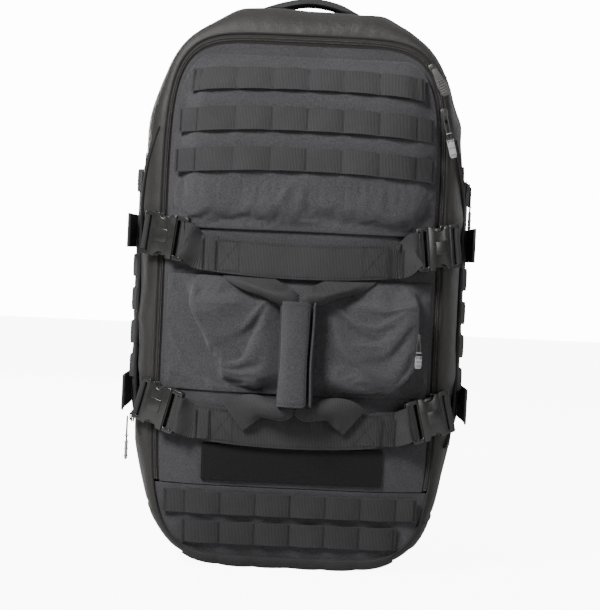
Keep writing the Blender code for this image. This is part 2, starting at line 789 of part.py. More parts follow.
def ladder_lock(name, side, line):
    """The adjuster at the foot of a shoulder pad: a frame with two slots."""
    along = (line[-1] - line[-2]).normalized()
    across = Vector((1, 0, 0)) - along * along.x
    across.normalize()
    out = across.cross(along) * -1
    frame = new_object(
        f"ladder_lock_{name}",
        box_mesh((-LADDER_WIDTH / 2, -LADDER_THICK / 2, 0), (LADDER_WIDTH / 2, LADDER_THICK / 2, LADDER_LENGTH)),
        "buckle_plastic",
    )
    for low in (0.005, 0.0175):
        cut(frame, (-LADDER_WIDTH / 2 + 0.003, -0.02, low), (LADDER_WIDTH / 2 - 0.003, 0.02, low + 0.0065))
    settle(frame)
    moved(frame, frame_matrix(line[-1] + along * 0.0035, across, -out, along))


def sternum_strap(name, side):
    """A short strap that hangs from the inner edge of a shoulder pad, with its half
    of the chest buckle."""
    x = side * 0.034
    line = [Vector((x, 0.1865, STERNUM_Z - STERNUM_LENGTH * i / 6)) for i in range(7)]
    ribbon(f"sternum_strap_{name}", line, lambda i: (1, 0, 0), 0.018, 0.003, "webbing")


def add_belt():
    for name, side in (("left", -1), ("right", 1)):
        flat = [(x, y, BELT_Z) for x, y in BELT_LINE]
        line = smooth_line(mirrored(flat, side), 12)

        def width(i):
            return mix(BELT_HEIGHT, 0.052, ease((i / 12 - 0.5) / 0.5))

        ribbon(f"belt_wing_{name}", line, lambda i: (0, 0, 1), width, BELT_THICK, "mesh_pad")


# ---------------------------------------------------------------- zip sliders
def slider_and_pull(name, spot, ahead, out, hang, length, width=PULL_WIDTH, thick=PULL_THICK):
    """A slider at spot, running along ahead, with its pull lying along hang."""
    half, tall = SLIDER_WIDTH / 2, SLIDER_LENGTH / 2
    slider = new_object(
        f"{name}_slider", box_mesh((-half, 0, -tall), (half, SLIDER_THICK, tall)), "slider_metal"
    )
    moved(slider, frame_matrix(spot, out.cross(ahead).normalized(), out, ahead))
    hang = (hang - out * hang.dot(out)).normalized()
    ring = spot + out * (SLIDER_THICK + REST + thick / 2)
    pull = new_object(
        f"{name}_pull",
        box_mesh((-width / 2, -thick / 2, 0), (width / 2, thick / 2, length)),
        "pull_rubber",
    )
    moved(pull, frame_matrix(ring, out.cross(hang).normalized(), out, hang))
    hang_from(f"{name}_run", spot, [f"{name}_slider"])
    hang_from(f"{name}_ring", ring, [f"{name}_pull"])


def add_sliders():
    inset = FRONT_ROUND + SLIDER_INSET
    for name, z, hang, length in MAIN_SLIDERS:
        angle = angle_at(z, inset)
        x, _ = outline(angle, inset)
        x1, z1 = outline(angle + 0.5, inset)
        spot = Vector((x, FRONT_Y - ZIP_THICK + 0.0002, z))
        ahead = Vector((x1 - x, 0, z1 - z)).normalized()
        slider_and_pull(name, spot, ahead, Vector((0, -1, 0)), Vector(hang), length)
    for name, side, z in SIDE_SLIDERS:
        y = SIDE_POCKET_FRONT - 0.008
        spot = Vector((side * (HALF_WIDTH + REST), y, z))
        up, out = Vector((0, 0, 1)), Vector((side, 0, 0))
        slider_and_pull(name, spot, up, out, -up, CORD_PULL_LENGTH, *CORD_PULL)
    x, z = POCKET_SLIDER
    out = front_normal(x, z)
    spot = on_front(x, z, lower_lift(x, z) + 2 * PALS_LIFT)
    up = (Vector((0, 0, 1)) - out * out.z).normalized()
    slider_and_pull("pocket", spot, up, out, -up, POCKET_PULL_LENGTH, *CORD_PULL)


# ---------------------------------------------------------------- joints
def hang_from(pivot_name, point, names):
    """Gives moving pieces one parent on their joint's axis, where they are."""
    pivot = bpy.data.objects.new(pivot_name, None)
    pivot.location = point
    pivot.empty_display_size = 0.02
    bpy.context.scene.collection.objects.link(pivot)
    for name in names:
        piece = bpy.data.objects[name]
        piece.data.transform(Matrix.Translation(-Vector(point)))
        piece.parent = pivot


def add_pivots():
    corners = [name for name, *_ in BUCKLES]
    lid = ["lid_panel", "upper_pocket", "lower_pocket", "upper_band", "lower_band"]
    lid += ["loop_patch", "pals_row_1", "pals_row_2", "pals_row_3"]
    lid += [f"buckle_socket_{name}" for name in corners]
    hang_from("lid_hinge", (0, front_y(0, FOLD_Z) - FOLD_CLEAR, FOLD_Z), lid)
    for name, side, z, tilt in BUCKLES:
        spot = buckle_frame(side, z, tilt).to_translation()
        hang_from(f"{name}_latch", spot, [f"buckle_plug_{name}"])
    _, top = outline(90, 0.0)
    hang_from("top_handle_pivot", (0, TOP_HANDLE_Y, top + TOP_HANDLE_CLEAR), ["top_handle"])
    handle = ["carry_handle_left", "carry_handle_right", "handle_wrap"]
    hang_from("carry_handle_lift", on_front(0, (GRIP_LOW + GRIP_HIGH) / 2, GRIP_LIFT), handle)
    for name, side in (("left", -1), ("right", 1)):
        x, y, z = at_stature(SHOULDER_LINE)[0]
        pieces = [f"{piece}_{name}" for piece in ("shoulder_pad", "ladder_lock", "sternum_strap")]
        hang_from(f"shoulder_seam_{name}", (side * x, y, z), pieces)
        x, y = BELT_LINE[0]
        hang_from(f"belt_seam_{name}", (side * x, y, BELT_Z), [f"belt_wing_{name}"])


LID_INSET = FRONT_ROUND + ZIP_WIDTH
clear_scene()
MATERIALS = make_materials()
add_sack()
add_back_panel()
add_skirt()
add_lid()
add_zip()
add_buckles()
add_side_straps()
add_side_pockets()
add_carry_handles()
add_top_handle()
add_back()
add_harness()
add_belt()
add_sliders()
add_pivots()
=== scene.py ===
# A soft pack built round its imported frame: each panel is a curved sheet laid over the
# same outline as the frame's solids, and straps, zips and stitches follow those sheets.
from math import asin, copysign, cos, degrees, pi, radians, sin, sqrt

import bmesh
import bpy
import numpy as np
from mathutils import Matrix, Vector, noise


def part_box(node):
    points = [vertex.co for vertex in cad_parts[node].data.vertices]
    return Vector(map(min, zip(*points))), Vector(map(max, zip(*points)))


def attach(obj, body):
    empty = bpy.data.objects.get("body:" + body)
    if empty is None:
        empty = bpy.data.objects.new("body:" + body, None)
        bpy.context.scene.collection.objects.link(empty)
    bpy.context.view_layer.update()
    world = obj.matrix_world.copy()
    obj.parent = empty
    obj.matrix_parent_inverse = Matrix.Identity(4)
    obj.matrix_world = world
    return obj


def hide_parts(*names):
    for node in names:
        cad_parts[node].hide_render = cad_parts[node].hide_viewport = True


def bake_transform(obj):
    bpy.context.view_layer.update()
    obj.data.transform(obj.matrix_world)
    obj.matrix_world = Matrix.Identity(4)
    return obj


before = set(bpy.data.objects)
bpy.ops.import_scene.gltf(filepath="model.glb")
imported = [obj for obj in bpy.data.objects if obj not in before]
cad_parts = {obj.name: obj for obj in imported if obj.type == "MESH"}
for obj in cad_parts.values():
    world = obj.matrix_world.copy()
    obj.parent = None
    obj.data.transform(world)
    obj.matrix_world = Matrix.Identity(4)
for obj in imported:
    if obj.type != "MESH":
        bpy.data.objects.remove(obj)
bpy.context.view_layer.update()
print("frame loaded")

# The sack's outline, a rounded rectangle that is squarer towards the front.
sack = {
    "halfWidth": 0.179,
    "halfHeight": 0.312,
    "centreZ": 0.308,
    "squareness": 4.0,
    "squarerInward": 55.0,
    "sideShare": 0.7,
    "baseShare": 0.5,
    "backY": 0.112,
    "frontY": -0.098,
    "frontRound": 0.034,
    "backRound": 0.020,
    "dome": 0.032,
    "domeFall": 2.2,
    "wall": 0.004,
    "zipWidth": 0.010,
    "foldZ": 0.092,
    "cornerDroop": 0.013,  # how far the top corners slump
}


def mix(a, b, t):
    return a + (b - a) * t


def ease(t):
    t = min(max(t, 0.0), 1.0)
    return t * t * (3 - 2 * t)


def outlineSize(inset, below):
    drop = inset * (sack["baseShare"] if below else 1.0)
    power = sack["squareness"] + sack["squarerInward"] * inset
    return sack["halfWidth"] - sack["sideShare"] * inset, sack["halfHeight"] - drop, power


def halfWidthAt(z, inset):
    half, tall, power = outlineSize(inset, z < sack["centreZ"])
    rise = min(abs(z - sack["centreZ"]) / tall, 1.0)
    return half * (1 - rise**power) ** (1 / power)


def outlinePoint(angle, inset):
    c, s = cos(radians(angle)), sin(radians(angle))
    half, tall, power = outlineSize(inset, s < 0)
    x = half * copysign(abs(c) ** (2 / power), c)
    z = sack["centreZ"] + tall * copysign(abs(s) ** (2 / power), s)
    return x, max(z, 0.0)


def angleAt(z, inset):
    _, tall, power = outlineSize(inset, z < sack["centreZ"])
    rise = (z - sack["centreZ"]) / tall
    return degrees(asin(copysign(min(abs(rise), 1.0) ** (power / 2), rise)))


def frontY(x, z):
    half, tall, power = outlineSize(sack["frontRound"], z < sack["centreZ"])
    reach = ((abs(x) / half) ** power + (abs(z - sack["centreZ"]) / tall) ** power) ** (1 / power)
    return sack["frontY"] - sack["dome"] * (1 - min(reach, 1.0) ** sack["domeFall"])


def frontNormal(x, z):
    step = 0.002
    slopeX = (frontY(x + step, z) - frontY(x - step, z)) / (2 * step)
    slopeZ = (frontY(x, z + step) - frontY(x, z - step)) / (2 * step)
    return Vector((slopeX, -1.0, slopeZ)).normalized()


def onFront(x, z, lift=0.0):
    return Vector((x, frontY(x, z), z)) + frontNormal(x, z) * lift


def wallStation(t):
    # t runs from 0 at the front lip to 1 at the back seam, evenly along the fabric.
    front, back = sack["frontRound"] * pi / 2, sack["backRound"] * pi / 2
    flat = sack["backY"] - sack["backRound"] - sack["frontY"] - sack["frontRound"]
    run = t * (front + flat + back)
    if run < front:
        turn = pi / 2 * (1 - run / front)
        y = sack["frontY"] + sack["frontRound"] * (1 - sin(turn))
        return y, sack["frontRound"] * (1 - cos(turn)), -turn
    if run < front + flat:
        return sack["frontY"] + sack["frontRound"] + run - front, 0.0, 0.0
    turn = pi / 2 * (run - front - flat) / back
    y = sack["backY"] - sack["backRound"] * (1 - sin(turn))
    return y, sack["backRound"] * (1 - cos(turn)), turn


def slump(x, z, t):
    # Little holds the top corners up behind the lip, so they sag.
    corner = ease((z - 0.49) / 0.07) * ease((abs(x) - 0.075) / 0.05)
    return sack["cornerDroop"] * corner * ease(t / 0.26) * ease((1 - t) / 0.3)


def onWall(angle, t, lift=0.0):
    y, inset, tilt = wallStation(t)
    x, z = outlinePoint(angle, inset)
    x0, z0 = outlinePoint(angle - 0.4, inset)
    x1, z1 = outlinePoint(angle + 0.4, inset)
    outward = Vector((z1 - z0, 0, x0 - x1)).normalized()
    normal = outward * cos(tilt) + Vector((0, 1, 0)) * sin(tilt)
    return Vector((x, y, z)) + normal * (lift - slump(x, z, t))


def evenAngles(inset, count, start=0.0, stop=360.0):
    # Angles that are evenly spaced along the outline.
    fine = np.linspace(start, stop, 4000)
    points = np.array([outlinePoint(a, inset) for a in fine])
    run = np.r_[0, np.cumsum(np.hypot(*np.diff(points, axis=0).T))]
    return np.interp(np.linspace(0, run[-1], count + 1), run, fine)


def smoothLine(points, count):
    points = [Vector(p) for p in points]
    ends = [2 * points[0] - points[1], *points, 2 * points[-1] - points[-2]]
    line = []
    for i in range(count + 1):
        place = i / count * (len(points) - 1)
        k = min(int(place), len(points) - 2)
        t = place - k
        a, b, c, d = ends[k : k + 4]
        line.append(
            0.5 * (2 * b + (c - a) * t + (2 * a - 5 * b + 4 * c - d) * t**2
                   + (3 * b - a - 3 * c + d) * t**3)
        )
    return line


def drape(grid, held, grow, push, weight, frames=20, most=0.010):
    # Lets a sheet of cloth that is a little too large settle between the points that hold it.
    columns, rows = grid.shape[:2]
    faces = [(i * rows + k, (i + 1) * rows + k, (i + 1) * rows + k + 1, i * rows + k + 1)
             for i in range(columns - 1) for k in range(rows - 1)]
    sheet = meshPiece("settling", grid.reshape(-1, 3), faces, None)
    group = sheet.vertex_groups.new(name="held")
    for n, share in enumerate(held.ravel()):
        group.add([n], float(share), "REPLACE")
    cloth = sheet.modifiers.new("cloth", "CLOTH")
    cloth.settings.vertex_group_mass = "held"
    cloth.settings.quality = 6
    cloth.settings.mass = 0.3
    cloth.settings.bending_stiffness = 0.4
    cloth.settings.shrink_min = -grow
    cloth.settings.use_pressure = True
    cloth.settings.uniform_pressure_force = push
    cloth.settings.effector_weights.gravity = weight
    cloth.collision_settings.use_collision = False
    cloth.collision_settings.use_self_collision = False
    for number in range(1, frames + 1):
        bpy.context.scene.frame_set(number)
    settled = sheet.evaluated_get(bpy.context.evaluated_depsgraph_get()).to_mesh()
    points = np.empty(len(settled.vertices) * 3)
    settled.vertices.foreach_get("co", points)
    bpy.data.objects.remove(sheet)
    bpy.context.scene.frame_set(1)
    moved = points.reshape(grid.shape) - grid
    far = np.maximum(np.linalg.norm(moved, axis=2, keepdims=True), 1e-9)
    return grid + moved * np.minimum(1.0, most / far)


def lumps(point, scale, seed):
    p = Vector(point) * scale + Vector((seed * 7.3, seed * 3.1, seed * 5.7))
    return noise.noise(p)


def creases(point, scale, seed):
    # Sharp-crested folds: high where the noise crosses zero.
    return 1 - min(abs(lumps(point, scale, seed)) * 3.2, 1.0)


# Every sheet of fabric or webbing is a closed slab over a grid of points, with a UV map
# in metres, so that a weave has one size everywhere.
def slabMesh(name, grid, thickness, material, wrap=False, smooth=True, inner=None):
    grid = np.asarray(grid, float)
    columns, rows = grid.shape[:2]
    across = np.gradient(grid, axis=0) if not wrap else (np.roll(grid, -1, 0) - np.roll(grid, 1, 0)) / 2
    along = np.gradient(grid, axis=1)
    normals = np.cross(across, along)
    normals /= np.maximum(np.linalg.norm(normals, axis=2, keepdims=True), 1e-12)
    back = grid - normals * thickness if inner is None else np.asarray(inner, float)
    points = np.concatenate([grid.reshape(-1, 3), back.reshape(-1, 3)])
    total = columns * rows
    stepU = np.linalg.norm(np.diff(grid, axis=0), axis=2).mean(axis=1)
    stepV = np.linalg.norm(np.diff(grid, axis=1), axis=2).mean(axis=0)
    u, v = np.r_[0, np.cumsum(stepU)], np.r_[0, np.cumsum(stepV)]
    closing = np.linalg.norm(grid[0] - grid[-1], axis=1).mean() if wrap else 0.0
    faces, uvs = [], []
    lastColumn = columns if wrap else columns - 1
    for i in range(lastColumn):
        j = (i + 1) % columns
        uj = u[i] + closing if j == 0 else u[j]
        for k in range(rows - 1):
            a, b, c, d = i * rows + k, j * rows + k, j * rows + k + 1, i * rows + k + 1
            faces.append((a, b, c, d))
            uvs.append(((u[i], v[k]), (uj, v[k]), (uj, v[k + 1]), (u[i], v[k + 1])))
            faces.append((a + total, d + total, c + total, b + total))
            uvs.append(((u[i], v[k]), (u[i], v[k + 1]), (uj, v[k + 1]), (uj, v[k])))
        for k, flip in ((0, False), (rows - 1, True)):
            a, b = i * rows + k, j * rows + k
            rim = (a + total, b + total, b, a)
            edge = ((u[i], v[k]), (uj, v[k]), (uj, v[k] + thickness), (u[i], v[k] + thickness))
            faces.append(rim[::-1] if flip else rim)
            uvs.append(edge[::-1] if flip else edge)
    if not wrap:
        for i, flip in ((0, True), (columns - 1, False)):
            for k in range(rows - 1):
                a, b = i * rows + k, i * rows + k + 1
                rim = (a + total, b + total, b, a)
                edge = ((u[i], v[k]), (u[i], v[k + 1]), (u[i] + thickness, v[k + 1]),
                        (u[i] + thickness, v[k]))
                faces.append(rim[::-1] if flip else rim)
                uvs.append(edge[::-1] if flip else edge)
    return meshPiece(name, points, faces, material, uvs, smooth)


def meshPiece(name, points, faces, material, uvs=None, smooth=True):
    data = bpy.data.meshes.new(name)
    data.from_pydata([tuple(p) for p in points], [], faces)
    if uvs is not None:
        layer = data.uv_layers.new(name="cloth")
        flat = np.array([c for face in uvs for c in face], np.float32).ravel()
        layer.data.foreach_set("uv", flat)
    if material:
        data.materials.append(material)
    if smooth:
        data.shade_smooth()
        data.set_sharp_from_angle(angle=radians(45))
    piece = bpy.data.objects.new(name, data)
    bpy.context.scene.collection.objects.link(piece)
    return piece


def strap(name, line, across, width, thickness, material, rows=4, edgeDrop=0.0):
    # A strap along line; across(i) is its width direction, width a number or a function.
    last = len(line) - 1
    grid = []
    for i, point in enumerate(line):
        along = (line[min(i + 1, last)] - line[max(i - 1, 0)]).normalized()
        side = Vector(across(i)).normalized()
        face = side.cross(along).normalized()
        side = along.cross(face)
        full = width(i) if callable(width) else width
        column = []
        for k in range(rows + 1):
            s = 2 * k / rows - 1
            column.append(point + side * full / 2 * s + face * (thickness / 2 - edgeDrop * s**4))
        grid.append(column)
    return slabMesh(name, np.array(grid), thickness, material)


def finished(piece):
    # Applies the modifiers, so that the piece is one plain mesh.
    bpy.context.view_layer.update()
    graph = bpy.context.evaluated_depsgraph_get()
    data = bpy.data.meshes.new_from_object(piece.evaluated_get(graph), depsgraph=graph)
    piece.modifiers.clear()
    piece.data = data
    return piece


def softened(piece, levels=1):
    smoother = piece.modifiers.new("softened", "SUBSURF")
    smoother.levels = smoother.render_levels = levels
    return finished(piece)


# Materials. Weaves follow each piece's "cloth" UV map, which is in metres.
class Recipe:
    def __init__(self, name, colour, roughness, **sockets):
        self.material = bpy.data.materials.new(name)
        self.material.use_nodes = True
        self.tree = self.material.node_tree
        self.shader = self.tree.nodes["Principled BSDF"]
        self.shader.inputs["Base Color"].default_value = (*colour, 1)
        self.shader.inputs["Roughness"].default_value = roughness
        for socket, value in sockets.items():
            self.shader.inputs[socket.replace("_", " ")].default_value = value

    def node(self, kind, links=None, **settings):
        made = self.tree.nodes.new(kind)
        for key, value in settings.items():
            if key in made.inputs:
                made.inputs[key].default_value = value
            else:
                setattr(made, key, value)
        for socket, source in (links or {}).items():
            self.tree.links.new(source, made.inputs[socket])
        return made

    def place(self, coordinates="UV", scale=(1, 1, 1), turn=0.0):
        source = self.node("ShaderNodeTexCoord").outputs[coordinates]
        mapping = self.node("ShaderNodeMapping", {"Vector": source})
        mapping.inputs["Scale"].default_value = scale
        mapping.inputs["Rotation"].default_value = (0, 0, turn)
        return mapping.outputs["Vector"]

    def noise(self, vector, scale, detail=2.0, rough=0.5):
        made = self.node("ShaderNodeTexNoise", {"Vector": vector})
        made.inputs["Scale"].default_value = scale
        made.inputs["Detail"].default_value = detail
        made.inputs["Roughness"].default_value = rough
        return made.outputs["Fac"]

    def wave(self, vector, scale, direction="X", distortion=0.0):
        made = self.node("ShaderNodeTexWave", {"Vector": vector}, bands_direction=direction)
        made.inputs["Scale"].default_value = scale
        made.inputs["Distortion"].default_value = distortion
        return made.outputs["Fac"]

    def ramp(self, source, stops):
        made = self.node("ShaderNodeValToRGB", {"Fac": source})
        ends = made.color_ramp.elements
        for spot, (place, colour) in enumerate(stops):
            stop = ends[spot] if spot < 2 else ends.new(place)
            stop.position = place
            stop.color = (*colour, 1) if len(colour) == 3 else colour
        return made.outputs["Color"]

    def math(self, operation, a, b):
        made = self.node("ShaderNodeMath", operation=operation)
        for spot, value in enumerate((a, b)):
            if isinstance(value, (int, float)):
                made.inputs[spot].default_value = value
            else:
                self.tree.links.new(value, made.inputs[spot])
        return made.outputs[0]

    def scaled(self, source, low, high):
        made = self.node("ShaderNodeMapRange", {"Value": source})
        made.inputs["To Min"].default_value = low
        made.inputs["To Max"].default_value = high
        return made.outputs["Result"]

    def mixed(self, factor, a, b, blend="MIX"):
        made = self.node("ShaderNodeMix", data_type="RGBA", blend_type=blend)
        for socket, value in ((0, factor), (6, a), (7, b)):
            if isinstance(value, (int, float, tuple)):
                made.inputs[socket].default_value = (*value, 1) if isinstance(value, tuple) else value
            else:
                self.tree.links.new(value, made.inputs[socket])
        return made.outputs[2]

    def bump(self, height, distance, strength=1.0, under=None):
        made = self.node("ShaderNodeBump", {"Height": height})
        made.inputs["Distance"].default_value = distance
        made.inputs["Strength"].default_value = strength
        if under is not None:
            self.tree.links.new(under, made.inputs["Normal"])
        return made.outputs["Normal"]

    def feed(self, socket, source):
        self.tree.links.new(source, self.shader.inputs[socket])

    def done(self):
        return self.material


weaves = {
    "bodyThread": 0.00075,  # spacing of the threads of the main fabric, metres
    "coatedThread": 0.0006,
    "webbingRib": 0.0016,
    "bodyColour": (0.0255, 0.0243, 0.0268),
    "coatedColour": (0.0088, 0.0078, 0.0068),
    "webbingColour": (0.0145, 0.0145, 0.0152),
    "threadColour": (0.0050, 0.0050, 0.0052),
    "pileColour": (0.0028, 0.0028, 0.0027),
}


def wovenFabric(name, colour, thread, roughness, speckle, depth, wear=0.0, **sockets):
    cloth = Recipe(name, colour, roughness, **sockets)
    uv = cloth.place("UV", (1 / thread, 1 / thread, 1))
    over = cloth.wave(uv, 0.32, "X", 0.6)
    under = cloth.wave(uv, 0.32, "Y", 0.6)
    weave = cloth.math("MAXIMUM", over, under)
    spot = cloth.place("Object")
    fine = cloth.noise(spot, 620.0, 3.0, 0.7)
    broad = cloth.noise(spot, 9.0, 3.0, 0.6)
    cloth.shader.inputs["Specular IOR Level"].default_value = 0.28
    light = tuple(min(c * (1 + speckle), 1) for c in colour)
    dark = tuple(c * (1 - speckle * 0.8) for c in colour)
    grain = cloth.ramp(fine, ((0.30, dark), (0.68, light)))
    shade = cloth.ramp(broad, ((0.3, (0.86, 0.86, 0.86)), (0.7, (1.10, 1.10, 1.12))))
    tone = cloth.mixed(1.0, grain, shade, "MULTIPLY")
    if wear:
        scuff = cloth.ramp(cloth.noise(spot, 60.0, 5.0, 0.75), ((0.62, (0, 0, 0)), (0.78, (1, 1, 1))))
        tone = cloth.mixed(cloth.math("MULTIPLY", scuff, wear), tone, tuple(c * 1.9 for c in colour))
    cloth.feed("Base Color", tone)
    cloth.feed("Roughness", cloth.scaled(fine, roughness - 0.08, roughness + 0.08))
    ripple = cloth.bump(cloth.noise(spot, 55.0, 3.0, 0.55), 0.0011, 0.55)
    cloth.feed("Normal", cloth.bump(weave, depth, 0.8, ripple))
    return cloth.done()


def coatedFabric(name, colour):
    cloth = Recipe(name, colour, 0.5, Sheen_Weight=0.05)
    cloth.shader.inputs["Specular IOR Level"].default_value = 0.30
    uv = cloth.place("UV", (1 / weaves["coatedThread"],) * 2 + (1,))
    weave = cloth.math("MAXIMUM", cloth.wave(uv, 0.32, "X"), cloth.wave(uv, 0.32, "Y"))
    spot = cloth.place("Object")
    broad = cloth.noise(spot, 14.0, 3.0, 0.6)
    fine = cloth.noise(spot, 420.0, 2.0, 0.6)
    tone = cloth.ramp(broad,
                      ((0.3, tuple(c * 0.8 for c in colour)), (0.72, tuple(c * 1.25 for c in colour))))
    grain = cloth.ramp(fine, ((0.3, (0.8, 0.8, 0.8)), (0.7, (1.2, 1.2, 1.2))))
    cloth.feed("Base Color", cloth.mixed(1.0, tone, grain, "MULTIPLY"))
    cloth.feed("Roughness", cloth.scaled(broad, 0.42, 0.66))
    folds = cloth.bump(cloth.noise(cloth.place("Object", (1, 1, 0.6)), 38.0, 4.0, 0.6), 0.0024, 0.7)
    cloth.feed("Normal", cloth.bump(weave, 0.00012, 0.6, folds))
    return cloth.done()


def webbingFabric(name, colour, rib, roughness=0.78):
    # Ribs run across the strap, and fainter cords run along it.
    cloth = Recipe(name, colour, roughness, Sheen_Weight=0.04, Sheen_Roughness=0.5)
    cloth.shader.inputs["Specular IOR Level"].default_value = 0.25
    uv = cloth.place("UV", (1 / rib, 1 / rib, 1))
    ribs = cloth.wave(uv, 0.318, "X", 0.4)
    cords = cloth.wave(uv, 0.22, "Y", 0.8)
    weave = cloth.math("ADD", cloth.math("MULTIPLY", ribs, 0.88), cloth.math("MULTIPLY", cords, 0.12))
    spot = cloth.place("Object")
    fine = cloth.noise(spot, 800.0, 2.0, 0.6)
    broad = cloth.noise(spot, 25.0, 3.0, 0.6)
    # The ribs' tone comes from their own relief. The weave pattern is the strap's own, and the tone adds
    # painted shade in the grooves and painted highlight on the crests.
    tone = cloth.ramp(weave,
                      ((0.1, tuple(c * 0.55 for c in colour)), (0.9, tuple(c * 1.45 for c in colour))))
    shade = cloth.ramp(broad, ((0.3, (0.85, 0.85, 0.85)), (0.7, (1.15, 1.15, 1.15))))
    tone = cloth.mixed(1.0, tone, shade, "MULTIPLY")
    cloth.feed("Base Color", tone)
    cloth.feed("Roughness", cloth.scaled(fine, roughness - 0.1, roughness + 0.1))
    soft = cloth.bump(cloth.noise(spot, 90.0, 2.0), 0.0006, 0.5)
    cloth.feed("Normal", cloth.bump(weave, 0.00035, 0.9, soft))
    return cloth.done()


def loopPile(name, colour):
    cloth = Recipe(name, colour, 0.95, Sheen_Weight=0.04, Sheen_Roughness=0.6)
    cloth.shader.inputs["Specular IOR Level"].default_value = 0.12
    spot = cloth.place("Object")
    fluff = cloth.noise(spot, 1500.0, 4.0, 0.8)
    clumps = cloth.noise(spot, 260.0, 3.0, 0.7)
    tone = cloth.ramp(fluff, ((0.35, tuple(c * 0.5 for c in colour)), (0.7, tuple(c * 2.4 for c in colour))))
    cloth.feed("Base Color", tone)
    tufts = cloth.bump(clumps, 0.0009, 0.9)
    cloth.feed("Normal", cloth.bump(fluff, 0.0006, 1.0, tufts))
    return cloth.done()


def airMesh(name, colour):
    cloth = Recipe(name, colour, 0.9, Sheen_Weight=0.25)
    uv = cloth.place("UV", (1 / 0.0032, 1 / 0.0032, 1), radians(45))
    cells = cloth.node("ShaderNodeTexVoronoi", {"Vector": uv}, feature="F1")
    cells.inputs["Scale"].default_value = 1.0
    cells.inputs["Randomness"].default_value = 0.12
    hole = cells.outputs["Distance"]
    # The holes are painted dark: painted shade inside each hole of the mesh, darker than its strands.
    tone = cloth.ramp(hole,
                      ((0.10, tuple(c * 0.25 for c in colour)), (0.42, tuple(c * 1.6 for c in colour))))
    cloth.feed("Base Color", tone)
    cloth.feed("Normal", cloth.bump(hole, 0.0010, 0.9))
    return cloth.done()


def mouldedPlastic(name, colour, roughness, grain=0.0002):
    plastic = Recipe(name, colour, roughness)
    plastic.shader.inputs["Specular IOR Level"].default_value = 0.5
    spot = plastic.place("Object")
    fine = plastic.noise(spot, 1400.0, 2.0, 0.6)
    haze = plastic.noise(spot, 120.0, 4.0, 0.7)
    tone = plastic.ramp(haze,
                        ((0.3, tuple(c * 0.85 for c in colour)), (0.75, tuple(c * 1.35 for c in colour))))
    plastic.feed("Base Color", tone)
    plastic.feed("Roughness", plastic.scaled(haze, roughness - 0.09, roughness + 0.12))
    plastic.feed("Normal", plastic.bump(fine, grain, 0.35))
    return plastic.done()


def paintedMetal(name, colour, roughness):
    metal = Recipe(name, colour, roughness, Metallic=0.85)
    spot = metal.place("Object")
    scratches = metal.noise(metal.place("Object", (1, 1, 6)), 600.0, 3.0, 0.7)
    wear = metal.ramp(metal.noise(spot, 700.0, 3.0, 0.8), ((0.58, (0, 0, 0)), (0.74, (1, 1, 1))))
    tone = metal.mixed(metal.math("MULTIPLY", wear, 0.35), colour, (0.30, 0.28, 0.25))
    metal.feed("Base Color", tone)
    metal.feed("Roughness", metal.scaled(scratches, roughness - 0.1, roughness + 0.15))
    metal.feed("Normal", metal.bump(scratches, 0.00008, 0.4))
    return metal.done()


mats = {
    "body": wovenFabric("bodyFabric", weaves["bodyColour"], weaves["bodyThread"], 0.82, 0.55, 0.00040,
                        0.25, Sheen_Weight=0.06, Sheen_Roughness=0.45),
    "pocket": wovenFabric("pocketFabric", weaves["bodyColour"], weaves["bodyThread"], 0.80, 0.60, 0.00040,
                          0.35, Sheen_Weight=0.07, Sheen_Roughness=0.45),
    "coated": coatedFabric("coatedFabric", weaves["coatedColour"]),
    "lining": wovenFabric("liningFabric", (0.060, 0.060, 0.063), 0.0006, 0.75, 0.25, 0.00015),
    "binding": webbingFabric("bindingTape", (0.0105, 0.0102, 0.0098), 0.0011, 0.85),
    "webbing": webbingFabric("webbingFabric", weaves["webbingColour"], weaves["webbingRib"]),
    "zipTape": webbingFabric("zipTape", (0.0095, 0.0090, 0.0084), 0.0009, 0.8),
    "zipCoil": mouldedPlastic("zipCoil", (0.020, 0.0185, 0.0165), 0.38, 0.0001),
    "thread": webbingFabric("sewingThread", weaves["threadColour"], 0.0004, 0.6),
    "pile": loopPile("loopPile", weaves["pileColour"]),
    "mesh": airMesh("airMesh", (0.022, 0.022, 0.024)),
    "plastic": mouldedPlastic("bucklePlastic", (0.0115, 0.0112, 0.0108), 0.22),
    "rubber": mouldedPlastic("pullRubber", (0.15, 0.15, 0.152), 0.55, 0.0003),
    "darkRubber": mouldedPlastic("darkRubber", (0.030, 0.029, 0.028), 0.5, 0.0003),
    "metal": paintedMetal("sliderMetal", (0.055, 0.052, 0.048), 0.36),
    "sheetPlastic": mouldedPlastic("frameSheet", (0.08, 0.08, 0.08), 0.6),
    "cord": webbingFabric("cordSheath", (0.024, 0.024, 0.025), 0.0009, 0.7),
}
print("materials made")


# The wall round the pack: one coated shell, front lip to back seam, with a lining.
shell = {
    "columns": 300,
    "rows": 44,
    "sag": 0.0035,  # broad softness of the fabric
    "crease": 0.0030,
    "strapPinch": 0.0030,  # how far the compression straps pull it in
    "strapLevels": (0.190, 0.367),
    "strapReach": 0.026,
    "seamPinch": 0.0022,
    "seamAngle": 38.0,
    "zipStation": 0.263,  # where the side zips run
}


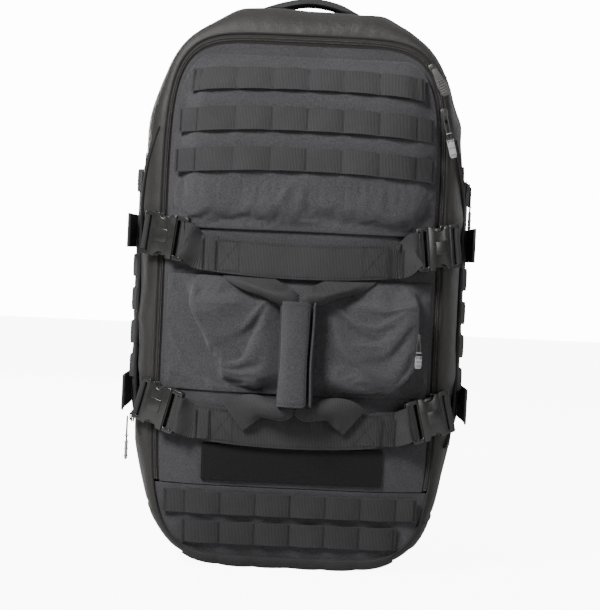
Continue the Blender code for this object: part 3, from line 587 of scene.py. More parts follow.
def shellLift(t, point):
    # Fades to nothing at the front lip and the back seam, which are sewn.
    hold = ease(t / 0.16) * ease((1 - t) / 0.12)
    lift = shell["sag"] * (lumps(point, 7.5, 1) - 0.25) + shell["crease"] * (creases(point, 11.0, 2) - 0.45)
    if abs(point.x) > 0.15:
        for z in shell["strapLevels"]:
            near = (point.z - z) / shell["strapReach"]
            lift -= shell["strapPinch"] * max(0.0, 1 - near**2)
    seam = shell["seamAngle"]
    for corner in (seam, 180 - seam, 180 + seam, 360 - seam):
        x, z = outlinePoint(corner, 0.0)
        apart = sqrt((point.x - x) ** 2 + (point.z - z) ** 2)
        lift -= shell["seamPinch"] * max(0.0, 1 - apart / 0.007)
    fromZip = abs(t - shell["zipStation"])
    if fromZip < 0.04 and abs(point.x) > 0.15:
        lift = mix(min(lift, -0.0003), lift, ease((fromZip - 0.024) / 0.016))
    if point.z < 0.03:
        lift = min(lift, 0.0) * ease(point.z / 0.03)
    return lift * hold


def makeShell():
    angles = evenAngles(0.015, shell["columns"])[:-1]
    outer, inner = [], []
    for angle in angles:
        column, lining = [], []
        for k in range(shell["rows"] + 1):
            t = k / shell["rows"]
            point = onWall(angle, t)
            lift = shellLift(t, point)
            column.append(onWall(angle, t, lift))
            lining.append(onWall(angle, t, min(lift, 0.0) - sack["wall"]))
        outer.append(column)
        inner.append(lining)
    made = slabMesh("sackShell", outer, sack["wall"], mats["coated"], wrap=True, inner=inner)
    made.data.materials.append(mats["lining"])
    total = len(angles) * (shell["rows"] + 1)
    for face in made.data.polygons:
        if all(v >= total for v in face.vertices):
            face.material_index = 1
    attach(made, "sack")
    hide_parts("side_panel_left", "side_panel_right", "top_panel", "base_panel")
    print("shell made")


def frontPlate(name, low, high, inset, columns, rows, lift, material, thickness=0.004):
    # A plate of the domed front that fills the outline drawn in by inset.
    outer, inner = [], []
    for i in range(columns + 1):
        u = sin(pi / 2 * (2 * i / columns - 1))
        outer.append([])
        inner.append([])
        for k in range(rows + 1):
            z = mix(low, high, (1 - cos(pi * k / rows)) / 2)
            x = halfWidthAt(z, inset) * u
            rise = lift(x, z)
            outer[-1].append(onFront(x, z, rise))
            inner[-1].append(onFront(x, z, min(rise, 0.0) - thickness))
    return slabMesh(name, outer, thickness, material, inner=inner)


lid = {
    "inset": sack["frontRound"] + sack["zipWidth"],
    "gap": 0.0006,
    "pocketMargin": 0.008,
    "ripple": 0.0014,
}


def lidLift(x, z):
    point = onFront(x, z)
    return lid["ripple"] * (lumps(point, 14.0, 3) - 0.2)


def makeLid():
    top = sack["centreZ"] + sack["halfHeight"] - lid["inset"] - lid["gap"]
    made = frontPlate("lidPanel", sack["foldZ"] + lid["gap"], top, lid["inset"], 90, 130, lidLift,
                      mats["body"])
    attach(made, "lid")
    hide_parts("lid_panel")
    bottom = sack["centreZ"] - sack["halfHeight"] + sack["baseShare"] * sack["frontRound"] + lid["gap"]
    inset = sack["frontRound"] + lid["gap"]
    made = frontPlate("frontSkirt", bottom, sack["foldZ"] - lid["gap"], inset, 90, 24, lidLift, mats["body"])
    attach(made, "sack")
    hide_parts("front_skirt")


# The two front pockets. The upper one is nearly flat; the lower one swells on both
# sides of the hollow that the carry handle lies in.
pockets = {
    "upper": {"low": 0.372, "high": 0.562, "thick": 0.012, "rim": 0.0035},
    "lower": {"low": 0.196, "high": 0.322, "thick": 0.029, "rim": 0.0028},
    "valleyHalf": 0.092,
    "zipX": 0.122,  # the lower pocket's zip runs down here
    "zipHalf": 0.007,
    "valleyShare": 0.7,
}


def pocketEdge(x, z, low, high, side=0.12, end=0.22):
    half = halfWidthAt(z, lid["inset"] + lid["pocketMargin"])
    u = min(max((x / half + 1) / 2, 0.0), 1.0)
    v = min(max((z - low) / (high - low), 0.0), 1.0)
    return ease(min(u, 1 - u) / side) * ease(min(v, 1 - v) / end)


def swollenEdge(x, z):
    # The swollen part of the lower pocket narrows towards its base, more so on the left.
    size = pockets["lower"]
    v = min(max((z - size["low"]) / (size["high"] - size["low"]), 0.0), 1.0)
    left, right = -mix(0.083, 0.128, ease(v / 0.95)), mix(0.104, 0.131, ease(v / 0.35))
    u = min(max((x - left) / (right - left), 0.0), 1.0)
    return ease(min(u, 1 - u) / 0.09) * ease(min(v, 1 - v) / 0.20)


def upperLift(x, z):
    size = pockets["upper"]
    return mix(size["rim"], size["thick"], pocketEdge(x, z, size["low"], size["high"]))


def lowerLift(x, z):
    size = pockets["lower"]
    reach = min(abs(x) / pockets["valleyHalf"], 1.0)
    valley = 1 - pockets["valleyShare"] * (1 - ease(reach))
    return mix(size["rim"], size["thick"], swollenEdge(x, z)) * valley


def upperWrinkle(x, z):
    # Plain cloth under the lowest webbing row hangs in soft folds.
    point = onFront(x, z)
    bare = ease((0.432 - z) / 0.012) * ease((z - 0.372) / 0.012)
    fold = creases((point.x * 0.7 + point.z * 0.5, 0.0, point.z * 1.2), 13.0, 5) - 0.45
    side = ease((abs(x) - 0.10) / 0.03)
    return bare * 0.0036 * fold + (0.0012 + 0.0030 * side) * lumps(point, 24.0, 6)


def lowerWrinkle(x, z):
    # Folds fan from the buckles and the handle into the swollen fabric.
    point = onFront(x, z)
    side = ease((abs(x) - 0.03) / 0.03) * besideZip(x)
    slant = Vector((point.x * 1.3 + point.z * 0.9, point.x * 0.4, point.z * 0.6))
    fold = creases(slant, 15.0, 8 if x < 0 else 9) - 0.5
    low = 1 - ease((z - 0.205) / 0.05)
    return side * ((0.0040 + 0.0040 * low) * fold + 0.0045 * lumps(point, 19.0, 10)) + 0.0010 * lumps(point,
                                                                                                      45.0,
                                                                                                      11)


def besideZip(x):
    return ease((abs(x - pockets["zipX"]) - pockets["zipHalf"]) / 0.012)


def pocketSheet(name, size, lift, wrinkle, loose, grow, columns=84, rows=52):
    # loose(x, z) is 0 where the sheet is sewn down and 1 where it hangs free.
    outer, inner, held = [], [], []
    for i in range(columns + 1):
        u = 2 * i / columns - 1
        outer.append([])
        inner.append([])
        held.append([])
        for k in range(rows + 1):
            v = k / rows
            z = mix(size["low"], size["high"], v)
            x = halfWidthAt(z, lid["inset"] + lid["pocketMargin"]) * u
            edge = ease((1 - abs(u)) / 0.06) * ease(min(v, 1 - v) / 0.08)
            outer[-1].append(onFront(x, z, max(lift(x, z) + wrinkle(x, z) * edge, 0.0022)))
            inner[-1].append(onFront(x, z, 0.0012))
            held[-1].append(1 - edge * loose(x, z))
    grid = np.array(outer)
    grid = drape(grid, np.array(held), grow, 0.6, 0.35)
    for i in range(columns + 1):
        for k in range(rows + 1):
            x, _, z = grid[i][k]
            height = (Vector(grid[i][k]) - onFront(x, z)).dot(frontNormal(x, z))
            grid[i][k] = onFront(x, z, min(max(height, 0.0022), size["thick"] + 0.008))
    made = softened(slabMesh(name, grid, 0.002, mats["pocket"], inner=inner))
    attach(made, "lid")
    return made


def makePockets():
    upper = pocketSheet("upperPocket", pockets["upper"], upperLift, upperWrinkle,
                        lambda x, z: ease((0.428 - z) / 0.012), 0.035)
    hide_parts("upper_pocket")
    lower = pocketSheet("lowerPocket", pockets["lower"], lowerLift, lowerWrinkle,
                        lambda x, z: ease((abs(x) - 0.022) / 0.02) * besideZip(x), 0.05)
    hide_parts("lower_pocket")
    print("lid and pockets made")


# Webbing rows: sewn down every 38 mm, and slack enough between to thread a strap.
rows = {
    "height": 0.025,
    "thick": 0.0016,
    "pitch": 0.0383,
    "slack": 0.0023,
    "lidRows": (0.531, 0.487, 0.444),
    "skirtRows": (0.0735, 0.0405),
    "arch": 0.004,
    "ease": 0.0012,
}


def rowLift(x):
    # Bows out between the sewn columns.
    phase = abs((x / rows["pitch"] + 0.5) % 1.0 - 0.5) * 2
    return rows["slack"] * (1 - (1 - min(phase * 1.15, 1.0)) ** 2)


def frontWeb(name, z, height, half, lift, sag, thick, material, columns=120, lines=8, body="lid"):
    grid = []
    for i in range(columns + 1):
        x = mix(-half, half, i / columns)
        column = []
        for k in range(lines + 1):
            level = z - sag * (1 - (x / half) ** 2) + height * (k / lines - 0.5)
            column.append(onFront(x, level, lift(x, level) + thick))
        grid.append(column)
    made = slabMesh(name, grid, thick, material)
    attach(made, body)
    return made


def makeRows():
    for number, z in enumerate(rows["lidRows"], 1):
        half = halfWidthAt(z + rows["height"] / 2, lid["inset"] + lid["pocketMargin"]) - 0.004
        made = frontWeb(f"websRow{number}", z, rows["height"], half,
                        lambda x, level: upperLift(x, level) + rows["ease"] + rowLift(x),
                        -rows["arch"], rows["thick"], mats["webbing"])
        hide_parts(f"pals_row_{number}")
    for number, z in enumerate(rows["skirtRows"], 4):
        half = halfWidthAt(z - rows["height"] / 2, sack["frontRound"]) - 0.006
        made = frontWeb(f"websRow{number}", z, rows["height"], half,
                        lambda x, level: rows["ease"] + rowLift(x), 0.0, rows["thick"],
                        mats["webbing"], body="sack")
        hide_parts(f"pals_row_{number}")
    grid = []
    for i in range(91):
        angle = 270 + 24 * (2 * i / 90 - 1)
        column = []
        for k in range(9):
            station = mix(0.095, 0.004, k / 8)
            x = onWall(angle, station).x
            column.append(onWall(angle, station, rows["ease"] + rowLift(x) * 0.6 + rows["thick"]))
        grid.append(column)
    made = slabMesh("websRow6", grid, rows["thick"], mats["webbing"])
    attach(made, "sack")
    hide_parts("pals_row_6")
    print("webbing rows made")


bands = {
    "height": 0.038,
    "half": 0.106,
    "drop": 0.006,
    "lift": 0.006,
    "upperZ": 0.346,
    "lowerZ": 0.163,
    "patch": {"low": 0.0985, "high": 0.1385, "half": 0.098, "thick": 0.0022},
}


def makeBands():
    for name, z, node in (("upperBand", bands["upperZ"], "upper_band"),
                          ("lowerBand", bands["lowerZ"], "lower_band")):
        made = frontWeb(name, z, bands["height"], bands["half"], lambda x, level: bands["lift"],
                        bands["drop"], 0.002, mats["webbing"])
        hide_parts(node)
    size = bands["patch"]
    made = frontWeb("loopPatch", (size["low"] + size["high"]) / 2, size["high"] - size["low"], size["half"],
                    lambda x, level: 0.0006, 0.0, size["thick"], mats["pile"], lines=16)
    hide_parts("loop_patch")


makeShell()
makeLid()
makePockets()
makeRows()
makeBands()


# Small things that repeat along a seam: stitches, zip teeth. One tree scatters a small
# shape along a curve; each seam is a poly curve.
def scatterTree():
    tree = bpy.data.node_groups.new("alongSeam", "GeometryNodeTree")
    face = tree.interface
    face.new_socket("Seam", in_out="INPUT", socket_type="NodeSocketGeometry")
    for label, value in (("Spacing", 0.003), ("Length", 0.0022), ("Width", 0.0006), ("Height", 0.0005),
                         ("Turn", 0.0), ("Shake", 0.0)):
        face.new_socket(label, in_out="INPUT", socket_type="NodeSocketFloat").default_value = value
    face.new_socket("Seed", in_out="INPUT", socket_type="NodeSocketInt").default_value = 5
    face.new_socket("Material", in_out="INPUT", socket_type="NodeSocketMaterial")
    face.new_socket("Stitches", in_out="OUTPUT", socket_type="NodeSocketGeometry")
    nodes, links = tree.nodes, tree.links
    source, result = nodes.new("NodeGroupInput"), nodes.new("NodeGroupOutput")

    toPoints = nodes.new("GeometryNodeCurveToPoints")
    toPoints.mode = "LENGTH"
    links.new(source.outputs["Seam"], toPoints.inputs["Curve"])
    links.new(source.outputs["Spacing"], toPoints.inputs["Length"])

    grain = nodes.new("GeometryNodeMeshUVSphere")
    grain.inputs["Segments"].default_value = 6
    grain.inputs["Rings"].default_value = 4
    grain.inputs["Radius"].default_value = 0.5
    sizes = nodes.new("ShaderNodeCombineXYZ")
    links.new(source.outputs["Width"], sizes.inputs["X"])
    links.new(source.outputs["Height"], sizes.inputs["Y"])
    links.new(source.outputs["Length"], sizes.inputs["Z"])
    shape = nodes.new("GeometryNodeTransform")
    links.new(grain.outputs["Mesh"], shape.inputs["Geometry"])
    links.new(sizes.outputs["Vector"], shape.inputs["Scale"])

    shake = nodes.new("FunctionNodeRandomValue")
    shake.data_type = "FLOAT"
    low = nodes.new("ShaderNodeMath")
    low.operation = "MULTIPLY"
    low.inputs[1].default_value = -1.0
    links.new(source.outputs["Shake"], low.inputs[0])
    links.new(low.outputs[0], shake.inputs[2])
    links.new(source.outputs["Shake"], shake.inputs[3])
    links.new(source.outputs["Seed"], shake.inputs["Seed"])
    turned = nodes.new("ShaderNodeMath")
    turned.operation = "ADD"
    links.new(source.outputs["Turn"], turned.inputs[0])
    links.new(shake.outputs[1], turned.inputs[1])
    spin = nodes.new("ShaderNodeCombineXYZ")
    links.new(turned.outputs[0], spin.inputs["Y"])
    aim = nodes.new("FunctionNodeRotateRotation")
    aim.rotation_space = "LOCAL"
    asTurn = nodes.new("FunctionNodeEulerToRotation")
    links.new(spin.outputs["Vector"], asTurn.inputs[0])
    links.new(toPoints.outputs["Rotation"], aim.inputs[0])
    links.new(asTurn.outputs[0], aim.inputs[1])

    place = nodes.new("GeometryNodeInstanceOnPoints")
    links.new(toPoints.outputs["Points"], place.inputs["Points"])
    links.new(shape.outputs["Geometry"], place.inputs["Instance"])
    links.new(aim.outputs[0], place.inputs["Rotation"])
    real = nodes.new("GeometryNodeRealizeInstances")
    links.new(place.outputs["Instances"], real.inputs["Geometry"])
    smooth = nodes.new("GeometryNodeSetShadeSmooth")
    links.new(real.outputs["Geometry"], smooth.inputs["Geometry"])
    paint = nodes.new("GeometryNodeSetMaterial")
    links.new(smooth.outputs["Geometry"], paint.inputs["Geometry"])
    links.new(source.outputs["Material"], paint.inputs["Material"])
    links.new(paint.outputs["Geometry"], result.inputs["Stitches"])
    return tree


alongSeam = scatterTree()


def alongSeams(name, lines, material, **inputs):
    # lines are lists of points; the shapes are laid along all of them in one piece.
    curve = bpy.data.curves.new(name, "CURVE")
    curve.dimensions = "3D"
    curve.twist_mode = "MINIMUM"
    for line in lines:
        spline = curve.splines.new("POLY")
        spline.points.add(len(line) - 1)
        spline.points.foreach_set("co", np.array([(*p, 1.0) for p in line], np.float32).ravel())
    guide = bpy.data.objects.new(name + "Guide", curve)
    bpy.context.scene.collection.objects.link(guide)
    layer = guide.modifiers.new("alongSeam", "NODES")
    layer.node_group = alongSeam
    sockets = {item.name: item.identifier for item in alongSeam.interface.items_tree
               if item.in_out == "INPUT"}
    layer[sockets["Material"]] = material
    for label, value in inputs.items():
        layer[sockets[label]] = value
    bpy.context.view_layer.update()
    graph = bpy.context.evaluated_depsgraph_get()
    data = bpy.data.meshes.new_from_object(guide.evaluated_get(graph), depsgraph=graph)
    bpy.data.objects.remove(guide)
    data.materials.clear()
    data.materials.append(material)
    piece = bpy.data.objects.new(name, data)
    bpy.context.scene.collection.objects.link(piece)
    return piece


stitch = {
    "spacing": 0.0031,
    "length": 0.0024,
    "width": 0.0007,
    "height": 0.0005,
    "edge": 0.0026,  # from the edge of a strap to its stitch line
}
seams = {"sack": [], "lid": []}  # stitch lines by body
tacks = {"sack": [], "lid": []}  # zigzag bar tacks by body


def frontLine(x0, z0, x1, z1, lift, count=40):
    return [onFront(mix(x0, x1, i / count), mix(z0, z1, i / count),
                    lift(mix(x0, x1, i / count), mix(z0, z1, i / count))) for i in range(count + 1)]


def zigzag(top, bottom, across, pitch=0.0009):
    # One bar tack: a dense zigzag from top to bottom.
    top, bottom = Vector(top), Vector(bottom)
    turns = max(4, int((bottom - top).length / pitch))
    across = Vector(across)
    return [top.lerp(bottom, i / turns) + across * (1 if i % 2 else -1) for i in range(turns + 1)]


def rowStitches():
    for z in rows["lidRows"]:
        half = halfWidthAt(z + rows["height"] / 2, lid["inset"] + lid["pocketMargin"]) - 0.004
        surface = lambda x, level: upperLift(x, level) + rows["ease"] + rowLift(x) + rows["thick"] + 0.0002
        tackRow("lid", z, half, -rows["arch"], surface)
    for z in rows["skirtRows"]:
        half = halfWidthAt(z - rows["height"] / 2, sack["frontRound"]) - 0.006
        tackRow("sack", z, half, 0.0, lambda x, level: rows["ease"] + rowLift(x) + rows["thick"] + 0.0002)


def tackRow(body, z, half, sag, surface):
    count = int(half / rows["pitch"])
    spots = [k * rows["pitch"] for k in range(-count, count + 1)] + [-half + 0.003, half - 0.003]
    for x in spots:
        middle = z - sag * (1 - (x / half) ** 2)
        top, bottom = middle + rows["height"] / 2 - 0.0012, middle - rows["height"] / 2 + 0.0012
        tacks[body].append(zigzag(onFront(x, top, surface(x, top)), onFront(x, bottom, surface(x, bottom)),
                                  (0.0011, 0, 0)))


def bandStitches():
    lift = lambda x, z: bands["lift"] + 0.0022
    for z in (bands["upperZ"], bands["lowerZ"]):
        for edge in (-1, 1):
            line = []
            for i in range(61):
                x = mix(-bands["half"] + 0.003, bands["half"] - 0.003, i / 60)
                level = z - bands["drop"] * (1 - (x / bands["half"]) ** 2)
                level += edge * (bands["height"] / 2 - stitch["edge"])
                line.append(onFront(x, level, lift(x, level)))
            seams["lid"].append(line)
    size = bands["patch"]
    lift = lambda x, z: size["thick"] + 0.0008
    left, right = -size["half"] + 0.002, size["half"] - 0.002
    low, high = size["low"] + 0.002, size["high"] - 0.002
    for box in ((left, low, right, low), (left, high, right, high), (left, low, left, high),
                (right, low, right, high)):
        seams["lid"].append(frontLine(*box, lift))


rowStitches()
bandStitches()
print("seams laid out")


# The main zip: two tapes, two rows of coil, and a cord of piping on the sack's side.
zipper = {
    "insetFrom": 0.034,
    "insetTo": 0.044,
    "tapeLift": 0.0008,
    "coilPitch": 0.0016,
}


def ringPoint(angle, inset, lift):
    # Between the sack's lip and the lid's edge, on the flat front ring.
    x, z = outlinePoint(angle, inset)
    return Vector((x, sack["frontY"] - lift, z))


def makeZip():
    start = angleAt(sack["foldZ"] + 0.004, zipper["insetFrom"])
    angles = evenAngles(zipper["insetFrom"] + 0.005, 420, start, 180 - start)
    grid = []
    for angle in angles:
        column = []
        for k in range(9):
            inset = mix(zipper["insetTo"] + 0.0006, zipper["insetFrom"] - 0.001, k / 8)
            dip = 0.0006 * cos((k / 8 - 0.5) * 2 * pi)
            column.append(ringPoint(angle, inset, zipper["tapeLift"] + dip))
        grid.append(column)
    tape = slabMesh("zipTape", grid, 0.0010, mats["zipTape"])
    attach(tape, "sack")
    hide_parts("main_zip")
    lines = []
    for inset in (zipper["insetFrom"] + 0.0035, zipper["insetFrom"] + 0.0062):
        lines.append([ringPoint(angle, inset, zipper["tapeLift"] + 0.0013) for angle in angles])
    coil = alongSeams("zipCoil", lines, mats["zipCoil"], Spacing=zipper["coilPitch"], Length=0.00125,
                      Width=0.0024, Height=0.0016, Turn=0.0, Shake=0.0)
    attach(coil, "sack")


def tube(name, line, radius, material, sides=8, closed=False, body=None):
    line = [Vector(p) for p in line]
    count = len(line)
    points, faces, uvs = [], [], []
    run = 0.0
    normal = Vector((0, 0, 1))
    lengths = []
    for i, point in enumerate(line):
        before = line[i - 1 if closed or i else 0]
        after = line[(i + 1) % count if closed else min(i + 1, count - 1)]
        along = (after - before).normalized()
        side = along.cross(normal)
        if side.length < 0.05:
            side = along.cross(Vector((1, 0, 0)))
        side.normalize()
        normal = side.cross(along)
        size = radius(i / (count - 1)) if callable(radius) else radius
        for k in range(sides):
            turn = 2 * pi * k / sides
            points.append(point + side * size * cos(turn) + normal * size * sin(turn))
        lengths.append(run)
        run += (line[(i + 1) % count] - point).length
    width = 2 * pi * (radius(0.5) if callable(radius) else radius)
    for i in range(count if closed else count - 1):
        j = (i + 1) % count
        v0, v1 = lengths[i], lengths[j] if j else run
        for k in range(sides):
            m = (k + 1) % sides
            faces.append((i * sides + k, j * sides + k, j * sides + m, i * sides + m))
            u0, u1 = width * k / sides, width * (k + 1) / sides
            uvs.append(((v0, u0), (v1, u0), (v1, u1), (v0, u1)))
    if not closed:
        for i, flip in ((0, False), (count - 1, True)):
            cap = tuple(range(i * sides, i * sides + sides))
            faces.append(cap[::-1] if flip else cap)
            uvs.append(tuple((0.0, 0.0) for _ in cap))
    piece = meshPiece(name, points, faces, material, uvs)
    outwards(piece)
    if body:
        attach(piece, body)
    return piece


def outwards(piece):
    shape = bmesh.new()
    shape.from_mesh(piece.data)
    bmesh.ops.recalc_face_normals(shape, faces=shape.faces)
    if shape.calc_volume(signed=True) < 0:
        bmesh.ops.reverse_faces(shape, faces=shape.faces)
    shape.to_mesh(piece.data)
    shape.free()


def makePiping():
    # Bound edges: round the sack's front lip, round its back seam, and at the corners.
    ring = evenAngles(0.03, 260)[:-1]
    tube("lipPiping", [onWall(a, 0.006, 0.0009) for a in ring], 0.0016, mats["binding"], closed=True,
         body="sack")
    tube("backPiping", [onWall(a, 0.985, 0.0012) for a in ring], 0.0024, mats["binding"], closed=True,
         body="sack")
    for n, corner in enumerate((38, 142, 218, 322)):
        line = [onWall(corner, mix(0.02, 0.97, i / 40), -0.0012) for i in range(41)]
        tube(f"cornerPiping{n + 1}", line, 0.0013, mats["binding"], body="sack")
        seams["sack"].append([onWall(corner + 0.8 * (1 if n in (0, 2) else -1), mix(0.03, 0.96, i / 50),
                                     shellLift(mix(0.03, 0.96, i / 50), onWall(corner, 0.5)) + 0.0002)
                              for i in range(51)])


makeZip()
makePiping()
print("zip and piping made")


# Side-release buckles, in a local frame: +X runs outwards along the strap from the
# socket's pivot, +Y goes in towards the pack and Z is across the strap.
buckle = {
    "x": 0.148,
    "y": -0.112,
    "yaw": 28.0,
    "height": 0.048,
    "body": 0.028,
    "bar": 0.014,
    "slot": 0.0045,
    "plugFrame": 0.013,
    "corners": (("upper_left", -1, 0.362, 8.0), ("upper_right", 1, 0.362, 8.0),
                ("lower_left", -1, 0.177, 16.0), ("lower_right", 1, 0.177, 16.0)),
    "release": 0.0075,  # radius of the D-shaped hole for the prong
}


def buckleFrame(side, z, tilt):
    a, b = radians(buckle["yaw"]), radians(tilt)
    along = Vector((side * cos(a) * cos(b), sin(a), sin(b))).normalized()
    inward = Vector((-side * sin(a), cos(a), 0))
    up = (along.cross(inward) * side).normalized()
    inward = (up.cross(along) * side).normalized()
    centre = buckle["body"] + buckle["plugFrame"] - buckle["bar"]
    spot = Vector((side * buckle["x"], buckle["y"], z)) - along * centre / 2
    matrix = Matrix((along, inward, up)).transposed().to_4x4()
    matrix.translation = spot
    return matrix


def plate(outline, thickness, low, holes=()):
    # A plate whose outline is in X and Z, from y = low, with holes cut through.
    shape = bmesh.new()
    loops = [outline, *holes]
    edges = []
    for loop in loops:
        verts = [shape.verts.new((x, low, z)) for x, z in loop]
        edges += [shape.edges.new((verts[i], verts[(i + 1) % len(verts)])) for i in range(len(verts))]
    bmesh.ops.triangle_fill(shape, use_beauty=True, use_dissolve=False, edges=edges)
    made = bmesh.ops.extrude_face_region(shape, geom=shape.faces[:])
    bmesh.ops.translate(shape, verts=[v for v in made["geom"] if isinstance(v, bmesh.types.BMVert)],
                        vec=(0, thickness, 0))
    bmesh.ops.recalc_face_normals(shape, faces=shape.faces)
    return shape


def roundedBox(x0, x1, z0, z1, r, steps=4):
    points = []
    for cx, cz, start in ((x1 - r, z1 - r, 0), (x0 + r, z1 - r, 90), (x0 + r, z0 + r, 180),
                          (x1 - r, z0 + r, 270)):
        for i in range(steps + 1):
            a = radians(start + 90 * i / steps)
            points.append((cx + r * cos(a), cz + r * sin(a)))
    return points


def joinedShape(shapes):
    whole = bmesh.new()
    for shape in shapes:
        data = bpy.data.meshes.new("part")
        shape.to_mesh(data)
        shape.free()
        whole.from_mesh(data)
        bpy.data.meshes.remove(data)
    return whole


def pieceFromShape(name, shape, material, matrix, bevel=0.0, turned=False):
    data = bpy.data.meshes.new(name)
    shape.to_mesh(data)
    shape.free()
    data.materials.append(material)
    piece = bpy.data.objects.new(name, data)
    bpy.context.scene.collection.objects.link(piece)
    if bevel:
        layer = piece.modifiers.new("edges", "BEVEL")
        layer.width = bevel
        layer.segments = 3
        layer.limit_method = "ANGLE"
        layer.angle_limit = radians(35)
        finished(piece)
    if turned:
        piece.data.flip_normals()
    piece.data.transform(matrix)
    piece.data.shade_smooth()
    piece.data.set_sharp_from_angle(angle=radians(40))
    return piece


def socketShape():
    # The female half: a hollow body with a D-shaped window at each end and a strap bar.
    h = buckle["height"] / 2
    r = buckle["release"]
    x0, x1 = 0.0, buckle["body"]
    face = []
    dip = [(x1 * 0.52 + r * cos(radians(a)), h - r * 0.85 * sin(radians(a))) for a in range(0, 181, 15)]
    upper = [(x1, h - 0.001)] + [(x, z) for x, z in dip] + [(x0, h)]
    lower = [(x, -z) for x, z in upper[::-1]]
    face = upper + lower
    outerPlate = plate(face, 0.0026, -0.0055)
    innerPlate = plate(face, 0.0026, 0.0029)
    spine = [box((x0, -0.0032, -0.0028), (x1 - 0.001, 0.0032, 0.0028))]
    rim = [box((x0, -0.0032, -h), (0.003, 0.0032, h))]
    bar = plate(roundedBox(-buckle["bar"], 0.0015, -h, h, 0.003), 0.0072, -0.0036,
                [roundedBox(-buckle["slot"] - 0.0005, -0.0008, -h + 0.0045, h - 0.0045, 0.0012),
                 roundedBox(-buckle["bar"] + 0.0028, -buckle["slot"] - 0.0042, -h + 0.0045, h - 0.0045,
                            0.0012)])
    ridge = [box((x1 * 0.30, -0.0063, -h * 0.30), (x1 * 0.86, -0.0050, h * 0.30))]
    return joinedShape([outerPlate, innerPlate, bar] + spine + rim + ridge)


def box(low, high):
    shape = bmesh.new()
    bmesh.ops.create_cube(shape, size=1.0)
    for v in shape.verts:
        v.co = Vector(mix(low[k], high[k], v.co[k] + 0.5) for k in range(3))
    return shape


def plugShape():
    # The male half: a frame with two strap bars, and three prongs that go inwards.
    h = buckle["height"] / 2
    x0, x1 = buckle["body"] + 0.0006, buckle["body"] + buckle["plugFrame"] + 0.0006
    frameShape = plate(roundedBox(x0, x1, -h, h, 0.0025), 0.0070, -0.0035,
                       [roundedBox(x0 + 0.0042, x0 + 0.0078, -h + 0.0045, h - 0.0045, 0.0012)])
    bodyOf = [frameShape]
    middle = box((x0 - 0.0185, -0.0016, 0.0036), (x0 + 0.001, 0.0016, 0.0052))
    other = box((x0 - 0.0185, -0.0016, -0.0052), (x0 + 0.001, 0.0016, -0.0036))
    bodyOf += [middle, other]
    for s in (-1, 1):
        arm = [(x0 + 0.001, s * (h - 0.0075)), (x0 - 0.010, s * (h - 0.0085)),
               (x0 - 0.0205, s * (h - 0.0105)),
               (x0 - 0.0205, s * (h - 0.0060)), (x0 - 0.0165, s * (h - 0.0026)),
               (x0 - 0.0085, s * (h - 0.0028)),
               (x0 - 0.0085, s * (h - 0.0052)), (x0 + 0.001, s * (h - 0.0040))]
        bodyOf.append(plate(arm if s < 0 else arm[::-1], 0.0036, -0.0018))
    return joinedShape(bodyOf)


def makeBuckles():
    for name, side, z, tilt in buckle["corners"]:
        matrix = buckleFrame(side, z, tilt)
        flip = matrix.to_3x3().determinant() < 0
        made = pieceFromShape(f"buckleSocket_{name}", socketShape(), mats["plastic"], matrix, 0.0012, flip)
        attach(made, "lid")
        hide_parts(f"buckle_socket_{name}")
        made = pieceFromShape(f"bucklePlug_{name}", plugShape(), mats["plastic"], matrix, 0.0006, flip)
        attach(made, f"plug_{name}")
        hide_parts(f"buckle_plug_{name}")
    print("buckles made")


# The tabs of webbing that hold each socket to its band, and the straps over the sides.
tabs = {"width": 0.037, "thick": 0.0018}


def makeTabs():
    for name, side, z, tilt in buckle["corners"]:
        matrix = buckleFrame(side, z, tilt)
        bandZ = bands["upperZ"] if name.startswith("upper") else bands["lowerZ"]
        anchor = [onFront(side * x, bandZ, bands["lift"] + 0.0035) for x in (0.088, 0.098, 0.107)]
        outer = [matrix @ Vector((x, y, 0)) for x, y in
                 ((-0.0185, -0.0048), (-0.0130, -0.0052), (-0.0080, -0.0050), (-0.0050, -0.0022),
                  (-0.0032, 0.0024))]
        line = smoothLine(anchor + outer, 44)
        up = matrix.to_3x3() @ Vector((0, 0, 1))

        def across(i):
            t = ease((i / 44 - 0.35) / 0.3)
            return Vector((0, 0, 1)).lerp(up, t) * side

        made = strap(f"socketTab_{name}", line, across, tabs["width"], tabs["thick"], mats["webbing"],
                     rows=6)
        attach(made, "lid")
        for x in (0.091, 0.1045):
            top = onFront(side * x, bandZ + 0.0155, bands["lift"] + 0.0058)
            low = onFront(side * x, bandZ - 0.0155, bands["lift"] + 0.0058)
            tacks["lid"].append(zigzag(top, low, (0.0013, 0, 0)))
        drop = bands["drop"] * (1 - (0.077 / bands["half"]) ** 2)
        corners = [(0.0655, -0.0155), (0.0885, -0.0155), (0.0885, 0.0155), (0.0655, 0.0155)]
        spots = [(side * x, bandZ - drop + rise) for x, rise in corners]
        for a, b in ((0, 1), (1, 2), (2, 3), (3, 0), (0, 2), (1, 3)):
            steps = [[mix(spots[a][k], spots[b][k], i / 14) for k in (0, 1)] for i in range(15)]
            seams["lid"].append([onFront(x, level, bands["lift"] + 0.0022) for x, level in steps])


def plugStrap(name, side, z, tilt):
    # The strap end threaded through the plug: it rides with the plug.
    matrix = buckleFrame(side, z, tilt)
    x0 = buckle["body"] + 0.0006
    path = ((x0 + 0.0100, 0.0040), (x0 + 0.0065, 0.0025), (x0 + 0.0060, -0.0025), (x0 + 0.0085, -0.0050),
            (x0 + 0.0125, -0.0048), (x0 + 0.0150, -0.0010), (x0 + 0.0165, 0.0035))
    line = smoothLine([matrix @ Vector((x, y, 0)) for x, y in path], 36)
    up = matrix.to_3x3() @ Vector((0, 0, 1)) * side
    made = strap(f"plugStrap_{name}", line, lambda i: up, 0.0375, 0.0016, mats["webbing"], rows=6)
    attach(made, f"plug_{name}")


